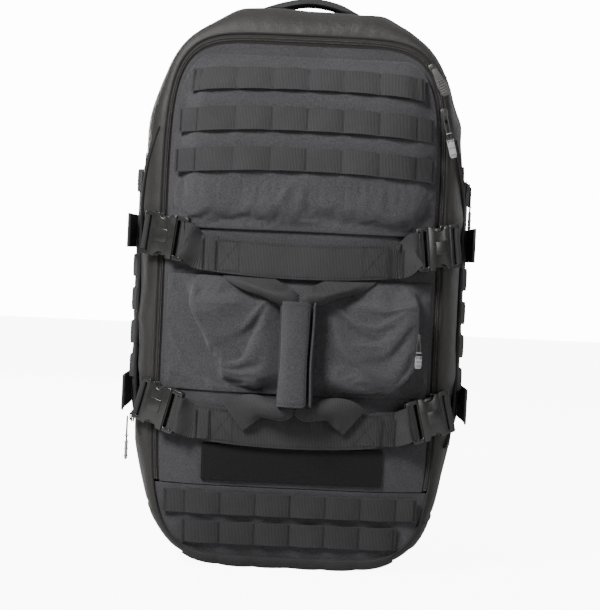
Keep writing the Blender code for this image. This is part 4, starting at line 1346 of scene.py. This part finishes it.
sideStrap = {
    "rise": 0.034,  # along a tilted buckle, from its middle to the strap
    "clear": 0.0128,  # from the wall to the strap, over the side pocket
    # stations on the wall, and how much further out than the clearance
    "spots": ((0.155, 0.0), (0.22, 0.0), (0.30, 0.0), (0.45, 0.0), (0.60, 0.0), (0.75, 0.0),
              (0.86, -0.002), (0.93, -0.006), (0.975, -0.011)),
    "height": 0.038,
    "thick": 0.0020,
}


def sideStraps():
    for name, side, z, tilt in buckle["corners"]:
        level = z + sideStrap["rise"] * sin(radians(tilt))
        line = []
        for t, more in sideStrap["spots"]:
            y, inset, _ = wallStation(t)
            out = halfWidthAt(level, inset) + sideStrap["clear"] + more
            line.append(Vector((side * out, y, level)))
        line = smoothLine(line, 60)
        for p in line:
            p.x += side * 0.0008 * lumps(p, 22.0, 13)
            p.z += 0.0012 * lumps(p, 9.0, 14)
        made = strap(f"sideStrap_{name}", line, lambda i: (0, 0.04, -side), sideStrap["height"],
                     sideStrap["thick"], mats["webbing"], rows=8)
        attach(made, "sack")
        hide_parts(f"side_strap_{name}")
        plugStrap(name, side, z, tilt)


makeBuckles()
makeTabs()
sideStraps()
print("straps made")


# A strap whose section curls into an arc, as webbing does where it is gathered.
def curledStrap(name, line, across, width, curl, thickness, material, rows=10):
    last = len(line) - 1
    grid = []
    for i, point in enumerate(line):
        along = (line[min(i + 1, last)] - line[max(i - 1, 0)]).normalized()
        side = Vector(across(i)).normalized()
        face = side.cross(along).normalized()
        side = along.cross(face)
        bend = max(curl(i), 0.02)
        radius = width(i) / (2 * bend)
        column = []
        for k in range(rows + 1):
            s = 2 * k / rows - 1
            turn = bend * s
            column.append(point + side * radius * sin(turn) - face * radius * (1 - cos(turn))
                          + face * thickness / 2)
        grid.append(column)
    return slabMesh(name, np.array(grid), thickness, material)


carry = {
    "gripLow": 0.186,
    "gripHigh": 0.298,
    "gripLift": 0.028,
    "webWidth": 0.036,
    "webThick": 0.0018,
    "sleeve": ((0.0118, 0.0098), (0.0075, 0.0118), (-0.002, 0.0126), (-0.0105, 0.0108), (-0.0160, 0.0055),
               (-0.0168, -0.0020), (-0.0120, -0.0085), (-0.001, -0.0098), (0.0105, -0.0088),
               (0.0160, -0.0045),
               (0.0176, 0.0015), (0.0166, 0.0078)),
}


def tuckUnder(piece, edge):
    # Presses the part of a strap that lies over this height flat, so that it slips under the band.
    for v in piece.data.vertices:
        x, z = v.co.x, v.co.z
        normal = frontNormal(x, z)
        height = (v.co - onFront(x, z)).dot(normal)
        most = 0.0036 + 1.7 * max(0.0, edge - z)
        if height > most and z > edge - 0.02:
            v.co -= normal * (height - most)


def makeCarryHandle():
    for name, side in (("left", -1), ("right", 1)):
        spots = ((0.074, 0.339, 0.0030), (0.062, 0.329, 0.0085), (0.044, 0.317, 0.0210),
                 (0.025, 0.308, 0.0290),
                 (0.0105, 0.300, 0.0290), (0.0080, 0.288, 0.0285), (0.0076, 0.242, 0.0280),
                 (0.0085, 0.196, 0.0285),
                 (0.0110, 0.183, 0.0290), (0.024, 0.183, 0.0265), (0.040, 0.184, 0.0210),
                 (0.055, 0.178, 0.0145),
                 (0.064, 0.171, 0.0105))
        line = smoothLine([onFront(side * x, z, lift) for x, z, lift in spots], 110)

        def across(i):
            p = line[i]
            out = frontNormal(p.x, p.z)
            along = (line[min(i + 1, 110)] - line[max(i - 1, 0)]).normalized()
            return along.cross(out)

        def gather(i):
            middle = 1 - abs(i / 110 - 0.5) * 2
            return ease((middle - 0.12) / 0.30)

        made = curledStrap(f"carryStrap_{name}", line, across,
                           lambda i: mix(carry["webWidth"], 0.026, gather(i)),
                           lambda i: mix(0.12, 1.35, gather(i)), carry["webThick"], mats["webbing"], rows=12)
        outwards(made)
        tuckUnder(made, bands["upperZ"] - bands["height"] / 2 - bands["drop"] * 0.7)
        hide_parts(f"carry_handle_{name}")
        start, end = onFront(side * 0.052, 0.25, 0.02), onFront(side * 0.016, 0.25, 0.02)
        end.y = start.y
        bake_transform(made)
    centre = onFront(0, (carry["gripLow"] + carry["gripHigh"]) / 2, carry["gripLift"])
    section = smoothLine([Vector((x, d, 0)) for x, d in carry["sleeve"]], 44)
    grid = []
    for i, p in enumerate(section):
        column = []
        for k in range(31):
            v = k / 30
            z = mix(carry["gripLow"], carry["gripHigh"], v)
            flare = 1 + 0.05 * (2 * v - 1) ** 2 + 0.02 * sin(9 * v + 1.0)
            edge = 0.0022 * (ease(1 - i / 4) + ease(1 - (44 - i) / 4))
            z += (-1 if v > 0.5 else 1) * edge * ease(abs(2 * v - 1))
            wobble = 0.0005 * lumps((p.x, p.y, z), 60.0, 15)
            column.append(Vector((centre.x + p.x * flare + 0.0012 * (v - 0.5),
                                  centre.y - p.y * flare - wobble, z)))
        grid.append(column)
    made = slabMesh("carrySleeve", np.array(grid)[::-1], 0.0018, mats["body"])
    outwards(made)
    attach(made, "carry_handle")
    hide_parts("handle_wrap")
    lines = []
    for v in (0.03, 0.97):
        k = int(v * 30)
        lines.append([Vector(grid[i][max(1, min(29, k))]) + Vector((0, -0.0003, 0)) for i in range(1, 22)])
    lines.append([Vector(grid[2][k]) + Vector((0, -0.0003, 0)) for k in range(1, 30)])
    made = alongSeams("sleeveStitches", lines, mats["thread"], Spacing=stitch["spacing"],
                      Length=stitch["length"],
                      Width=stitch["width"], Height=stitch["height"], Shake=0.1, Seed=3)
    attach(made, "carry_handle")
    print("carry handle made")


grab = {
    "y": 0.070,
    "width": 0.024,
    "thick": 0.0030,
    "low": 0.6205,  # the level its spots are measured from
    "spots": ((-0.084, 0.0008), (-0.074, 0.0026), (-0.064, 0.0105), (-0.040, 0.0215), (-0.004, 0.0290),
              (0.030, 0.0245), (0.054, 0.0125), (0.066, 0.0026), (0.080, 0.0008)),
    "core": 0.0036,  # radius of the cord in its grip
    "coreDrop": 0.0035,
    "coreHalf": 0.05,
}


def makeGrabHandle():
    line = smoothLine([Vector((x, grab["y"], grab["low"] + z)) for x, z in grab["spots"]], 80)
    surface = [onWall(angleForX(p.x), 0.72, 0.0).z for p in line]
    for p, z in zip(line, surface):
        lift = ease((0.072 - abs(p.x)) / 0.02)
        p.z = mix(z + 0.0022, max(p.z, z + 0.0022), lift)

    def gather(i):
        return ease((0.056 - abs(line[i].x)) / 0.02)

    made = curledStrap("grabHandle", line, lambda i: (0, -1, 0), lambda i: grab["width"],
                       lambda i: mix(0.05, 1.15, gather(i)), grab["thick"], mats["webbing"], rows=12)
    outwards(made)
    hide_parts("top_handle")
    core = [p - Vector((0, 0, grab["coreDrop"])) for p in line if abs(p.x) < grab["coreHalf"]]
    tube("grabHandleCore", core, grab["core"], mats["binding"], body="grab_handle")
    return made


def angleForX(x):
    # The angle on the top of the outline at a given x.
    low, high = 20.0, 160.0
    for _ in range(40):
        middle = (low + high) / 2
        if outlinePoint(middle, 0.0)[0] > x:
            low = middle
        else:
            high = middle
    return (low + high) / 2


grabHandle = makeGrabHandle()
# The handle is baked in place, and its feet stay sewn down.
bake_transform(grabHandle)
makeCarryHandle()
print("handles made")


# Zip sliders and pulls. Frames: +X across the zip, +Y out from the cloth, +Z ahead.
def frameAt(spot, out, ahead):
    across = out.cross(ahead).normalized()
    matrix = Matrix((across, out, ahead)).transposed().to_4x4()
    matrix.translation = spot
    return matrix


sliders = {
    "length": 0.013,
    "width": 0.008,
    "thick": 0.0055,
    "rest": 0.0006,
    "mainThick": 0.004,
    "cordThick": 0.003,
    "loopRadius": 0.00085,
    # name, height, way its pull hangs, length of the pull, kind of pull
    "main": (("main_a", 0.556, (0.5, 0, -0.87), 0.032, "grip"),
             ("main_b", 0.508, (0.25, 0, -0.97), 0.048, "cord")),
    "side": (("side_left", -1, 0.158), ("side_right", 1, 0.432)),
    "sideY": -0.054,
    "sideLength": 0.048,
    "pocketSpot": (0.122, 0.262),
    "pocketRim": 0.0035,  # thickness of the frame's lower pocket at its rim
    "pocketThick": 0.026,
    "pocketRest": 0.0024,
    "pocketLength": 0.030,
}


def sliderShape():
    l, w, t = sliders["length"] / 2, sliders["width"] / 2, sliders["thick"]
    lower = plate([(-w, -l * 0.5), (-w * 0.62, -l), (w * 0.62, -l), (w, -l * 0.5), (w, l * 0.7),
                   (w * 0.5, l),
                   (0, l * 0.7), (-w * 0.5, l), (-w, l * 0.7)], 0.0014, 0.0)
    upper = plate([(-w, -l * 0.5), (-w * 0.62, -l), (w * 0.62, -l), (w, -l * 0.5), (w, l * 0.7),
                   (w * 0.5, l),
                   (-w * 0.5, l), (-w, l * 0.7)], 0.0012, 0.0022)
    neck = box((-0.0012, 0.0008, -l * 0.2), (0.0012, 0.0026, l * 0.8))
    legs = [box((-0.0011, 0.0030, z - 0.0012), (0.0011, t - 0.0008, z + 0.0012)) for z in (-l * 0.55,
                                                                                           l * 0.45)]
    bridge = box((-0.0011, t - 0.0014, -l * 0.62), (0.0011, t - 0.0002, l * 0.55))
    return joinedShape([lower, upper, neck, bridge] + legs)


def gripShape(width, thick, start, length, ribs):
    # A moulded pull: narrow at the ring, wider at the end, with raised ribs.
    half = width / 2
    outline = [(-half * 0.45, start), (half * 0.45, start), (half * 0.62, start + 0.004),
               (half, length * 0.55),
               (half, length - 0.003), (half * 0.72, length), (-half * 0.72, length),
               (-half, length - 0.003),
               (-half, length * 0.55), (-half * 0.62, start + 0.004)]
    parts = [plate(outline, thick * 0.62, -thick * 0.31)]
    for i in range(ribs):
        z = mix(length * 0.45, length - 0.004, i / max(ribs - 1, 1))
        parts.append(box((-half * 0.78, -thick / 2, z - 0.0006), (half * 0.78, thick / 2, z + 0.0006)))
    return joinedShape(parts)


def makeSlider(name, spot, ahead, out, hang, length, thick, kind):
    made = pieceFromShape(f"{name}Slider", sliderShape(), mats["metal"], frameAt(spot, out, ahead), 0.0005)
    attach(made, f"{name}_slider")
    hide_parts(f"{name}_slider")
    hang = (hang - out * hang.dot(out)).normalized()
    ring = spot + out * (sliders["thick"] + sliders["rest"] + thick / 2)
    matrix = frameAt(ring, out, hang)
    if kind == "grip":
        made = pieceFromShape(f"{name}Pull", gripShape(0.011, thick, 0.0, length, 6), mats["darkRubber"],
                              matrix, 0.0006)
        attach(made, f"{name}_pull")
        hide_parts(f"{name}_pull")
        return
    cap = min(0.019, length * 0.42)
    made = pieceFromShape(f"{name}Cap", gripShape(0.0078, 0.0046, length - cap, length + 0.001, 4),
                          mats["rubber"],
                          matrix, 0.0006)
    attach(made, f"{name}_pull")
    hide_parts(f"{name}_pull")
    sway = 0.0022
    loop = [(-0.0010, length - cap + 0.004), (-sway, (length - cap) * 0.6), (-sway * 0.9, 0.005),
            (0.0, 0.0006),
            (sway * 0.9, 0.005), (sway, (length - cap) * 0.6), (0.0010, length - cap + 0.004)]
    line = smoothLine([matrix @ Vector((x, 0, z)) for x, z in loop], 40)
    tube(f"{name}Loop", line, sliders["loopRadius"], mats["cord"], body=f"{name}_pull")


def makeSliders():
    inset = sack["frontRound"] + 0.0025
    for name, z, hang, length, kind in sliders["main"]:
        angle = angleAt(z, inset)
        x, _ = outlinePoint(angle, inset)
        x1, z1 = outlinePoint(angle + 0.5, inset)
        spot = Vector((x, sack["frontY"] - 0.003 + 0.0002, z))
        along = Vector((x1 - x, 0, z1 - z)).normalized()
        makeSlider(name, spot, along, Vector((0, -1, 0)), Vector(hang), length, sliders["mainThick"], kind)
    for name, side, z in sliders["side"]:
        spot = Vector((side * (sack["halfWidth"] + sliders["rest"]), sliders["sideY"], z))
        makeSlider(name, spot, Vector((0, 0, 1)), Vector((side, 0, 0)), Vector((0, 0, -1)),
                   sliders["sideLength"], sliders["cordThick"], "cord")
    x, z = sliders["pocketSpot"]
    out = frontNormal(x, z)
    up = (Vector((0, 0, 1)) - out * out.z).normalized()
    size = pockets["lower"]
    edge = pocketEdge(x, z, size["low"], size["high"])
    lift = mix(sliders["pocketRim"], sliders["pocketThick"], edge) + sliders["pocketRest"]
    makeSlider("pocket", onFront(x, z, lift), up, out, -up, sliders["pocketLength"],
               sliders["cordThick"], "cord")
    print("sliders made")


# The pockets on the sides: a swollen sheet, webbing rows and a curved double seam.
sidePocket = {
    "low": 0.140,
    "high": 0.455,
    "front": 0.297,
    "back": 0.79,
    "thick": 0.0085,
    "rowLevels": (0.424, 0.328, 0.290, 0.252, 0.214),
    "seam": ((0.055, 0.468), (0.10, 0.448), (0.165, 0.420), (0.215, 0.385), (0.236, 0.345), (0.230, 0.300),
             (0.205, 0.262), (0.222, 0.225), (0.205, 0.190), (0.160, 0.168), (0.105, 0.155)),
}


def wallAt(side, z, t, lift):
    angle = angleAt(z, 0.0)
    return onWall(angle if side > 0 else 180 - angle, t, lift)


def makeSidePockets():
    size = sidePocket
    for name, side in (("left", -1), ("right", 1)):
        outer, inner = [], []
        for i in range(41):
            u = i / 40
            t = mix(size["front"], size["back"], u)
            outer.append([])
            inner.append([])
            for k in range(61):
                v = k / 60
                z = mix(size["low"], size["high"], v)
                edge = ease(min(u, 1 - u) / 0.15) * ease(min(v, 1 - v) / 0.12)
                point = wallAt(side, z, t, 0.0)
                lift = mix(0.0028, size["thick"],
                           edge) + edge * 0.0014 * (creases(point, 18.0, 20 + side) - 0.5)
                outer[-1].append(wallAt(side, z, t, lift))
                inner[-1].append(wallAt(side, z, t, 0.0008))
        grid, back = np.array(outer), np.array(inner)
        made = slabMesh(f"sidePocket_{name}", grid, 0.002, mats["coated"], inner=back)
        outwards(made)
        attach(made, "sack")
        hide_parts(f"side_pocket_{name}")
        for n, z in enumerate(size["rowLevels"], 1):
            line = []
            for i in range(61):
                t = mix(size["front"] + 0.012, size["back"] - 0.012, i / 60)
                u = (t - size["front"]) / (size["back"] - size["front"])
                edge = ease(min(u, 1 - u) / 0.15)
                phase = abs((i / 60 * 3 + 0.5) % 1.0 - 0.5) * 2
                bow = 0.0008 * (1 - (1 - min(phase * 1.15, 1)) ** 2)
                line.append(wallAt(side, z, t, mix(0.0030, size["thick"] + 0.0004, edge) + bow))
            made = strap(f"sideRow{n}_{name}", line, lambda i: (0, 0, -side), rows["height"],
                         0.0012, mats["webbing"], rows=6, edgeDrop=0.0006)
            outwards(made)
            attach(made, "sack")
        for n, shift in enumerate((0.0, 0.0145)):
            path = smoothLine([Vector((0.92 * t + shift, z, 0)) for t, z in size["seam"]], 90)
            line = [wallAt(side, p.y, p.x, 0.0006) for p in path]
            tube(f"sideSeam{n + 1}_{name}", line, 0.0016, mats["binding"], body="sack")
    print("side pockets made")


makeSliders()
makeSidePockets()


# The back: padded panels, shoulder straps, belt and their webbing.
harness = {
    "padHalf": 0.108,
    "padLow": 0.185,
    "padHigh": 0.505,
    "padThick": 0.014,
    "channel": 0.016,
    "lumbarHalf": 0.118,
    "lumbarLow": 0.075,
    "lumbarHigh": 0.175,
    "lumbarThick": 0.018,
    "shoulderLine": ((0.056, 0.1225, 0.560), (0.060, 0.157, 0.530), (0.070, 0.181, 0.467),
                     (0.085, 0.183, 0.400),
                     (0.100, 0.170, 0.330), (0.110, 0.152, 0.268)),
    "shoulderWidth": (0.064, 0.040),
    "shoulderThick": 0.011,
    "lowerWebbing": ((0.112, 0.138, 0.226), (0.124, 0.133, 0.170), (0.138, 0.128, 0.115),
                     (0.148, 0.121, 0.072)),
    "beltLine": ((0.1235, 0.143), (0.148, 0.156), (0.166, 0.182), (0.172, 0.215), (0.168, 0.255)),
    "beltHeights": (0.080, 0.052),
    "beltThick": 0.012,
    "beltZ": 0.125,
}


def cushion(name, grid, thickness, material, inner=None):
    made = slabMesh(name, grid, thickness, material, inner=inner)
    outwards(made)
    return softened(made)


def rimLine(grid, offset):
    # The edge of a grid of points, once round.
    columns, rows = len(grid), len(grid[0])
    loop = [grid[i][0] for i in range(columns)] + [grid[columns - 1][k] for k in range(1, rows)]
    loop += [grid[i][rows - 1] for i in range(columns - 2, -1, -1)] + [grid[0][k] for k in range(rows - 2, 0,
                                                                                                 -1)]
    return [Vector(p) + offset for p in loop]


def backGrid(x0, x1, z0, z1, y, thick, columns, lines, quilt):
    outer, inner = [], []
    for i in range(columns + 1):
        u = i / columns
        outer.append([])
        inner.append([])
        for k in range(lines + 1):
            v = k / lines
            edge = min(ease(min(u, 1 - u) / 0.22), ease(min(v, 1 - v) / 0.10))
            ridge = abs(sin(pi * v * quilt)) ** 0.35 if quilt else 1.0
            x, z = mix(x0, x1, u), mix(z0, z1, v)
            lift = mix(0.004, thick, edge * (0.35 + 0.65 * ridge))
            outer[-1].append(Vector((x, y + lift, z)))
            inner[-1].append(Vector((x, y + 0.0008, z)))
    return outer, inner


def makeBack():
    panel = slabMesh("backPanel", [[Vector((x * s, sack["backY"] - 0.0006, z)) for z, s in backRows()]
                                   for x in np.linspace(1, -1, 61)], 0.004, mats["body"])
    outwards(panel)
    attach(panel, "sack")
    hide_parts("back_panel")
    y = sack["backY"]
    halves = ((-harness["padHalf"], -harness["channel"]), (harness["channel"], harness["padHalf"]))
    for n, (x0, x1) in enumerate(halves):
        outer, inner = backGrid(x0, x1, harness["padLow"], harness["padHigh"], y, harness["padThick"], 14,
                                60, 5)
        made = cushion(f"backPad{n + 1}", outer, 0.01, mats["mesh"], inner)
        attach(made, "sack")
        if n == 0:
            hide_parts("back_pad")
        tube(f"backPadEdge{n + 1}", rimLine(outer, Vector((0, -0.0022, 0))), 0.0022, mats["binding"],
             closed=True,
             body="sack")
    outer, inner = backGrid(-harness["lumbarHalf"], harness["lumbarHalf"], harness["lumbarLow"],
                            harness["lumbarHigh"],
                            y, harness["lumbarThick"], 36, 18, 0)
    made = cushion("lumbarPad", outer, 0.01, mats["mesh"], inner)
    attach(made, "sack")
    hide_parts("lumbar_pad")
    tube("lumbarEdge", rimLine(outer, Vector((0, -0.0022, 0))), 0.0024, mats["binding"], closed=True,
         body="sack")
    print("back made")


def backRows():
    inset = sack["backRound"] + 0.0004
    _, tall, _ = outlineSize(inset, False)
    _, deep, _ = outlineSize(inset, True)
    levels = np.linspace(0, 1, 80)
    found = []
    for v in levels:
        s = -cos(pi * v)
        z = sack["centreZ"] + (tall if s > 0 else deep) * s * 0.9995
        if z < 0.006:
            z = 0.006 + 0.0001 * v
        found.append((z, halfWidthAt(z, inset)))
    return found


def padLine(points, side, count):
    return smoothLine([Vector((side * x, y, z)) for x, y, z in points], count)


def padAlong(name, line, width, thick, axis, body, node, columns=14):
    # A padded strap: the line is its middle, axis(i) its width direction.
    last = len(line) - 1
    front, back = [], []
    for i, point in enumerate(line):
        along = (line[min(i + 1, last)] - line[max(i - 1, 0)]).normalized()
        side = Vector(axis).normalized()
        face = side.cross(along).normalized()
        side = along.cross(face)
        u = i / last
        end = ease(min(u, 1 - u) / 0.04)
        front.append([])
        back.append([])
        for k in range(columns + 1):
            s = 2 * k / columns - 1
            w = width(u) / 2 * s * (0.82 + 0.18 * end)
            swell = (thick / 2 - 0.0016) * (1 - abs(s) ** 5) * (0.5 + 0.5 * end) + 0.0014
            front[-1].append(point + side * w + face * swell)
            back[-1].append(point + side * w - face * swell)
    made = slabMesh(name, front, thick, mats["body"], inner=back)
    outwards(made)
    made.data.materials.append(mats["mesh"])
    total = len(line) * (columns + 1)
    for polygon in made.data.polygons:
        if all(v >= total for v in polygon.vertices):
            polygon.material_index = 1
    softened(made)
    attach(made, body)
    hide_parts(node)
    edge = [(Vector(a) + Vector(b)) / 2 for a, b in zip(rimLine(front, Vector()), rimLine(back, Vector()))]
    tube(f"{name}Edge", edge, 0.0021, mats["binding"], closed=True, body=body)
    return front


def ladderShape(width, height, thick):
    w, h = width / 2, height / 2
    outer = roundedBox(-w, w, -h, h, 0.003)
    holes = [roundedBox(-w + 0.004, w - 0.004, z, z + 0.0045, 0.001) for z in (-h + 0.004, -0.0022,
                                                                               h - 0.0085)]
    return joinedShape([plate(outer, thick, -thick / 2, holes)])


def makeShoulders():
    for name, side in (("left", -1), ("right", 1)):
        body = f"shoulder_strap_{name}"
        line = padLine(harness["shoulderLine"], side, 44)
        wide, narrow = harness["shoulderWidth"]
        padAlong(f"shoulderPad_{name}", line, lambda u: mix(wide, narrow, ease(u)), harness["shoulderThick"],
                 (1, 0, 0), body, f"shoulder_pad_{name}")
        over = []
        for i in range(2, 43):
            along = (line[i + 1] - line[i - 1]).normalized()
            out = Vector((1, 0, 0)).cross(along).normalized()
            out = -out if out.y > 0 else out
            over.append(line[i] - out * (harness["shoulderThick"] / 2 + 0.0006) * -1)
        made = strap(f"shoulderWeb_{name}", over, lambda i: (1, 0, 0), 0.025, 0.0016, mats["webbing"])
        outwards(made)
        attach(made, body)
        low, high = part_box(f"ladder_lock_{name}")
        spot = (Vector(low) + Vector(high)) / 2
        foot = (line[-1] - line[-3]).normalized()
        across = Vector((1, 0, 0))
        across = (across - foot * across.dot(foot)).normalized()
        matrix = Matrix((across, foot.cross(across) * -1, foot)).transposed().to_4x4()
        matrix.translation = spot
        made = pieceFromShape(f"ladderLock_{name}", ladderShape(0.030, 0.030, 0.0044), mats["plastic"],
                              matrix,
                              0.0005, matrix.to_3x3().determinant() < 0)
        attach(made, body)
        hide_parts(f"ladder_lock_{name}")
        low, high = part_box(f"sternum_strap_{name}")
        x, y = (low[0] + high[0]) / 2, (low[1] + high[1]) / 2
        line = smoothLine([Vector((x, y + 0.0014 * sin(5 * k),
                                   mix(high[2], low[2], k / 4))) for k in range(5)], 24)
        made = strap(f"sternumStrap_{name}", line, lambda i: (1, 0, 0), 0.018, 0.0018, mats["webbing"])
        outwards(made)
        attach(made, body)
        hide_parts(f"sternum_strap_{name}")
        line = padLine(harness["lowerWebbing"], side, 30)
        made = strap(f"lowerWebbing_{name}", line, lambda i: (1, 0, 0), 0.025, 0.002, mats["webbing"])
        outwards(made)
        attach(made, "sack")
        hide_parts(f"lower_webbing_{name}")
    print("shoulder straps made")


def makeBelt():
    for name, side in (("left", -1), ("right", 1)):
        line = smoothLine([Vector((side * x, y, harness["beltZ"])) for x, y in harness["beltLine"]], 34)
        tall, short = harness["beltHeights"]
        padAlong(f"beltWing_{name}", line, lambda u: mix(tall, short, ease(u)), harness["beltThick"],
                 (0, 0, 1),
                 f"belt_{name}", f"belt_wing_{name}")
        out = []
        for i in range(3, 35):
            along = (line[min(i + 1, 34)] - line[i - 1]).normalized()
            normal = Vector((0, 0, 1)).cross(along).normalized()
            normal = normal if normal.x * side > 0 else -normal
            out.append(line[i] + normal * (harness["beltThick"] / 2 + 0.0006))
        made = strap(f"beltWeb_{name}", out, lambda i: (0, 0, 1), 0.038, 0.0018, mats["webbing"])
        outwards(made)
        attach(made, f"belt_{name}")
    print("belt made")


makeBack()
makeShoulders()
makeBelt()
for node, paint in (("frame_sheet", "sheetPlastic"),):
    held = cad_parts[node]
    held.data.materials.clear()
    held.data.materials.append(mats[paint])


# All the stitches of a body become one piece each.
def makeStitches():
    for body, lines in seams.items():
        made = alongSeams(f"{body}Stitches", lines, mats["thread"], Spacing=stitch["spacing"],
                          Length=stitch["length"], Width=stitch["width"], Height=stitch["height"],
                          Turn=0.0, Shake=0.12, Seed=7)
        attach(made, body)
    for body, lines in tacks.items():
        made = threads(f"{body}Tacks", lines)
        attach(made, body)
    print("stitches made")


def threads(name, lines):
    # Bar tacks: one thin square thread along every zigzag, all in one mesh.
    points, faces = [], []
    half = 0.00030
    for line in lines:
        first = len(points)
        for i, p in enumerate(line):
            along = (line[min(i + 1, len(line) - 1)] - line[max(i - 1, 0)]).normalized()
            out = frontNormal(p.x, p.z)
            side = along.cross(out).normalized()
            for a, b in ((-1, -1), (1, -1), (1, 1), (-1, 1)):
                points.append(p + side * half * a * 1.3 + out * half * b)
        for i in range(len(line) - 1):
            for k in range(4):
                m = (k + 1) % 4
                a = first + i * 4
                faces.append((a + k, a + 4 + k, a + 4 + m, a + m))
        faces.append(tuple(first + k for k in (0, 1, 2, 3)))
        last = first + (len(line) - 1) * 4
        faces.append(tuple(last + k for k in (3, 2, 1, 0)))
    made = meshPiece(name, points, faces, mats["thread"], [[(0.0, 0.0)] * len(f) for f in faces],
                     smooth=False)
    outwards(made)
    return made


makeStitches()


# Camera, floor and soft studio light.
studio = {
    "focus": (0.0015, -0.125, 0.2935),
    "camera": (0.0, -1.90, 0.345),
    "frameWidth": 0.660,  # metres across the picture at the focus
    "roll": 2.6,
    "floorColour": (0.50, 0.50, 0.50),
    "skyLight": 0.15,
    "skyShown": 14.0,  # the sky and the floor as the camera sees them
    "floorShown": 9.0,
    "floorHalf": 6,
    # name, place, where it points, size and watts
    "lights": (
        ("keyLight", (-1.0, -1.35, 1.55), (0, 0, 0.42), (0.6, 0.6), 118),
        ("fillLight", (1.5, -1.7, 0.9), (0, 0, 0.3), (0.8, 1.2), 21),
        ("topLight", (0.0, 0.3, 2.0), (0, 0, 0.5), (1.2, 0.8), 5),
        ("backLight", (-1.0, 2.1, 1.1), (0, 0, 0.3), (1.2, 1.2), 60),
        ("rimLight", (1.6, 0.9, 1.0), (0, 0, 0.35), (0.5, 1.4), 14),
    ),
}


def areaLight(name, spot, target, size, power):
    data = bpy.data.lights.new(name, "AREA")
    data.shape = "RECTANGLE"
    data.size, data.size_y = size
    data.energy = power
    lamp = bpy.data.objects.new(name, data)
    bpy.context.scene.collection.objects.link(lamp)
    lamp.location = spot
    lamp.rotation_euler = (Vector(target) - Vector(spot)).to_track_quat("-Z", "Y").to_euler()


def makeStudio():
    scene = bpy.context.scene
    floor = bpy.data.meshes.new("floor")
    half = studio["floorHalf"]
    corners = [(-half, -half, 0), (half, -half, 0), (half, half, 0), (-half, half, 0)]
    floor.from_pydata(corners, [], [(0, 1, 2, 3)])
    paint = Recipe("floorPaint", studio["floorColour"], 0.7)
    sight = paint.node("ShaderNodeLightPath").outputs["Is Camera Ray"]
    paint.shader.inputs["Emission Color"].default_value = (1, 1, 1, 1)
    paint.feed("Emission Strength", paint.math("MULTIPLY", sight, studio["floorShown"]))
    floor.materials.append(paint.done())
    ground = bpy.data.objects.new("floor", floor)
    scene.collection.objects.link(ground)

    world = bpy.data.worlds.new("studioWorld")
    world.use_nodes = True
    sky = world.node_tree.nodes["Background"]
    seen = world.node_tree.nodes.new("ShaderNodeLightPath")
    level = world.node_tree.nodes.new("ShaderNodeMapRange")
    level.inputs["To Min"].default_value = studio["skyLight"]
    level.inputs["To Max"].default_value = studio["skyShown"]
    world.node_tree.links.new(seen.outputs["Is Camera Ray"], level.inputs["Value"])
    world.node_tree.links.new(level.outputs["Result"], sky.inputs["Strength"])
    sky.inputs["Color"].default_value = (1, 1, 1, 1)
    scene.world = world
    for light in studio["lights"]:
        areaLight(*light)

    data = bpy.data.cameras.new("camera")
    camera = bpy.data.objects.new("camera", data)
    scene.collection.objects.link(camera)
    focus, spot = Vector(studio["focus"]), Vector(studio["camera"])
    camera.location = spot
    view = (focus - spot).to_track_quat("-Z", "Y").to_matrix().to_4x4()
    camera.matrix_world = Matrix.Translation(spot) @ view @ Matrix.Rotation(radians(studio["roll"]), 4, "Z")
    data.sensor_width = 36
    data.lens = 36 * (focus - spot).length / studio["frameWidth"]
    scene.camera = camera
    print("studio made")


makeStudio()
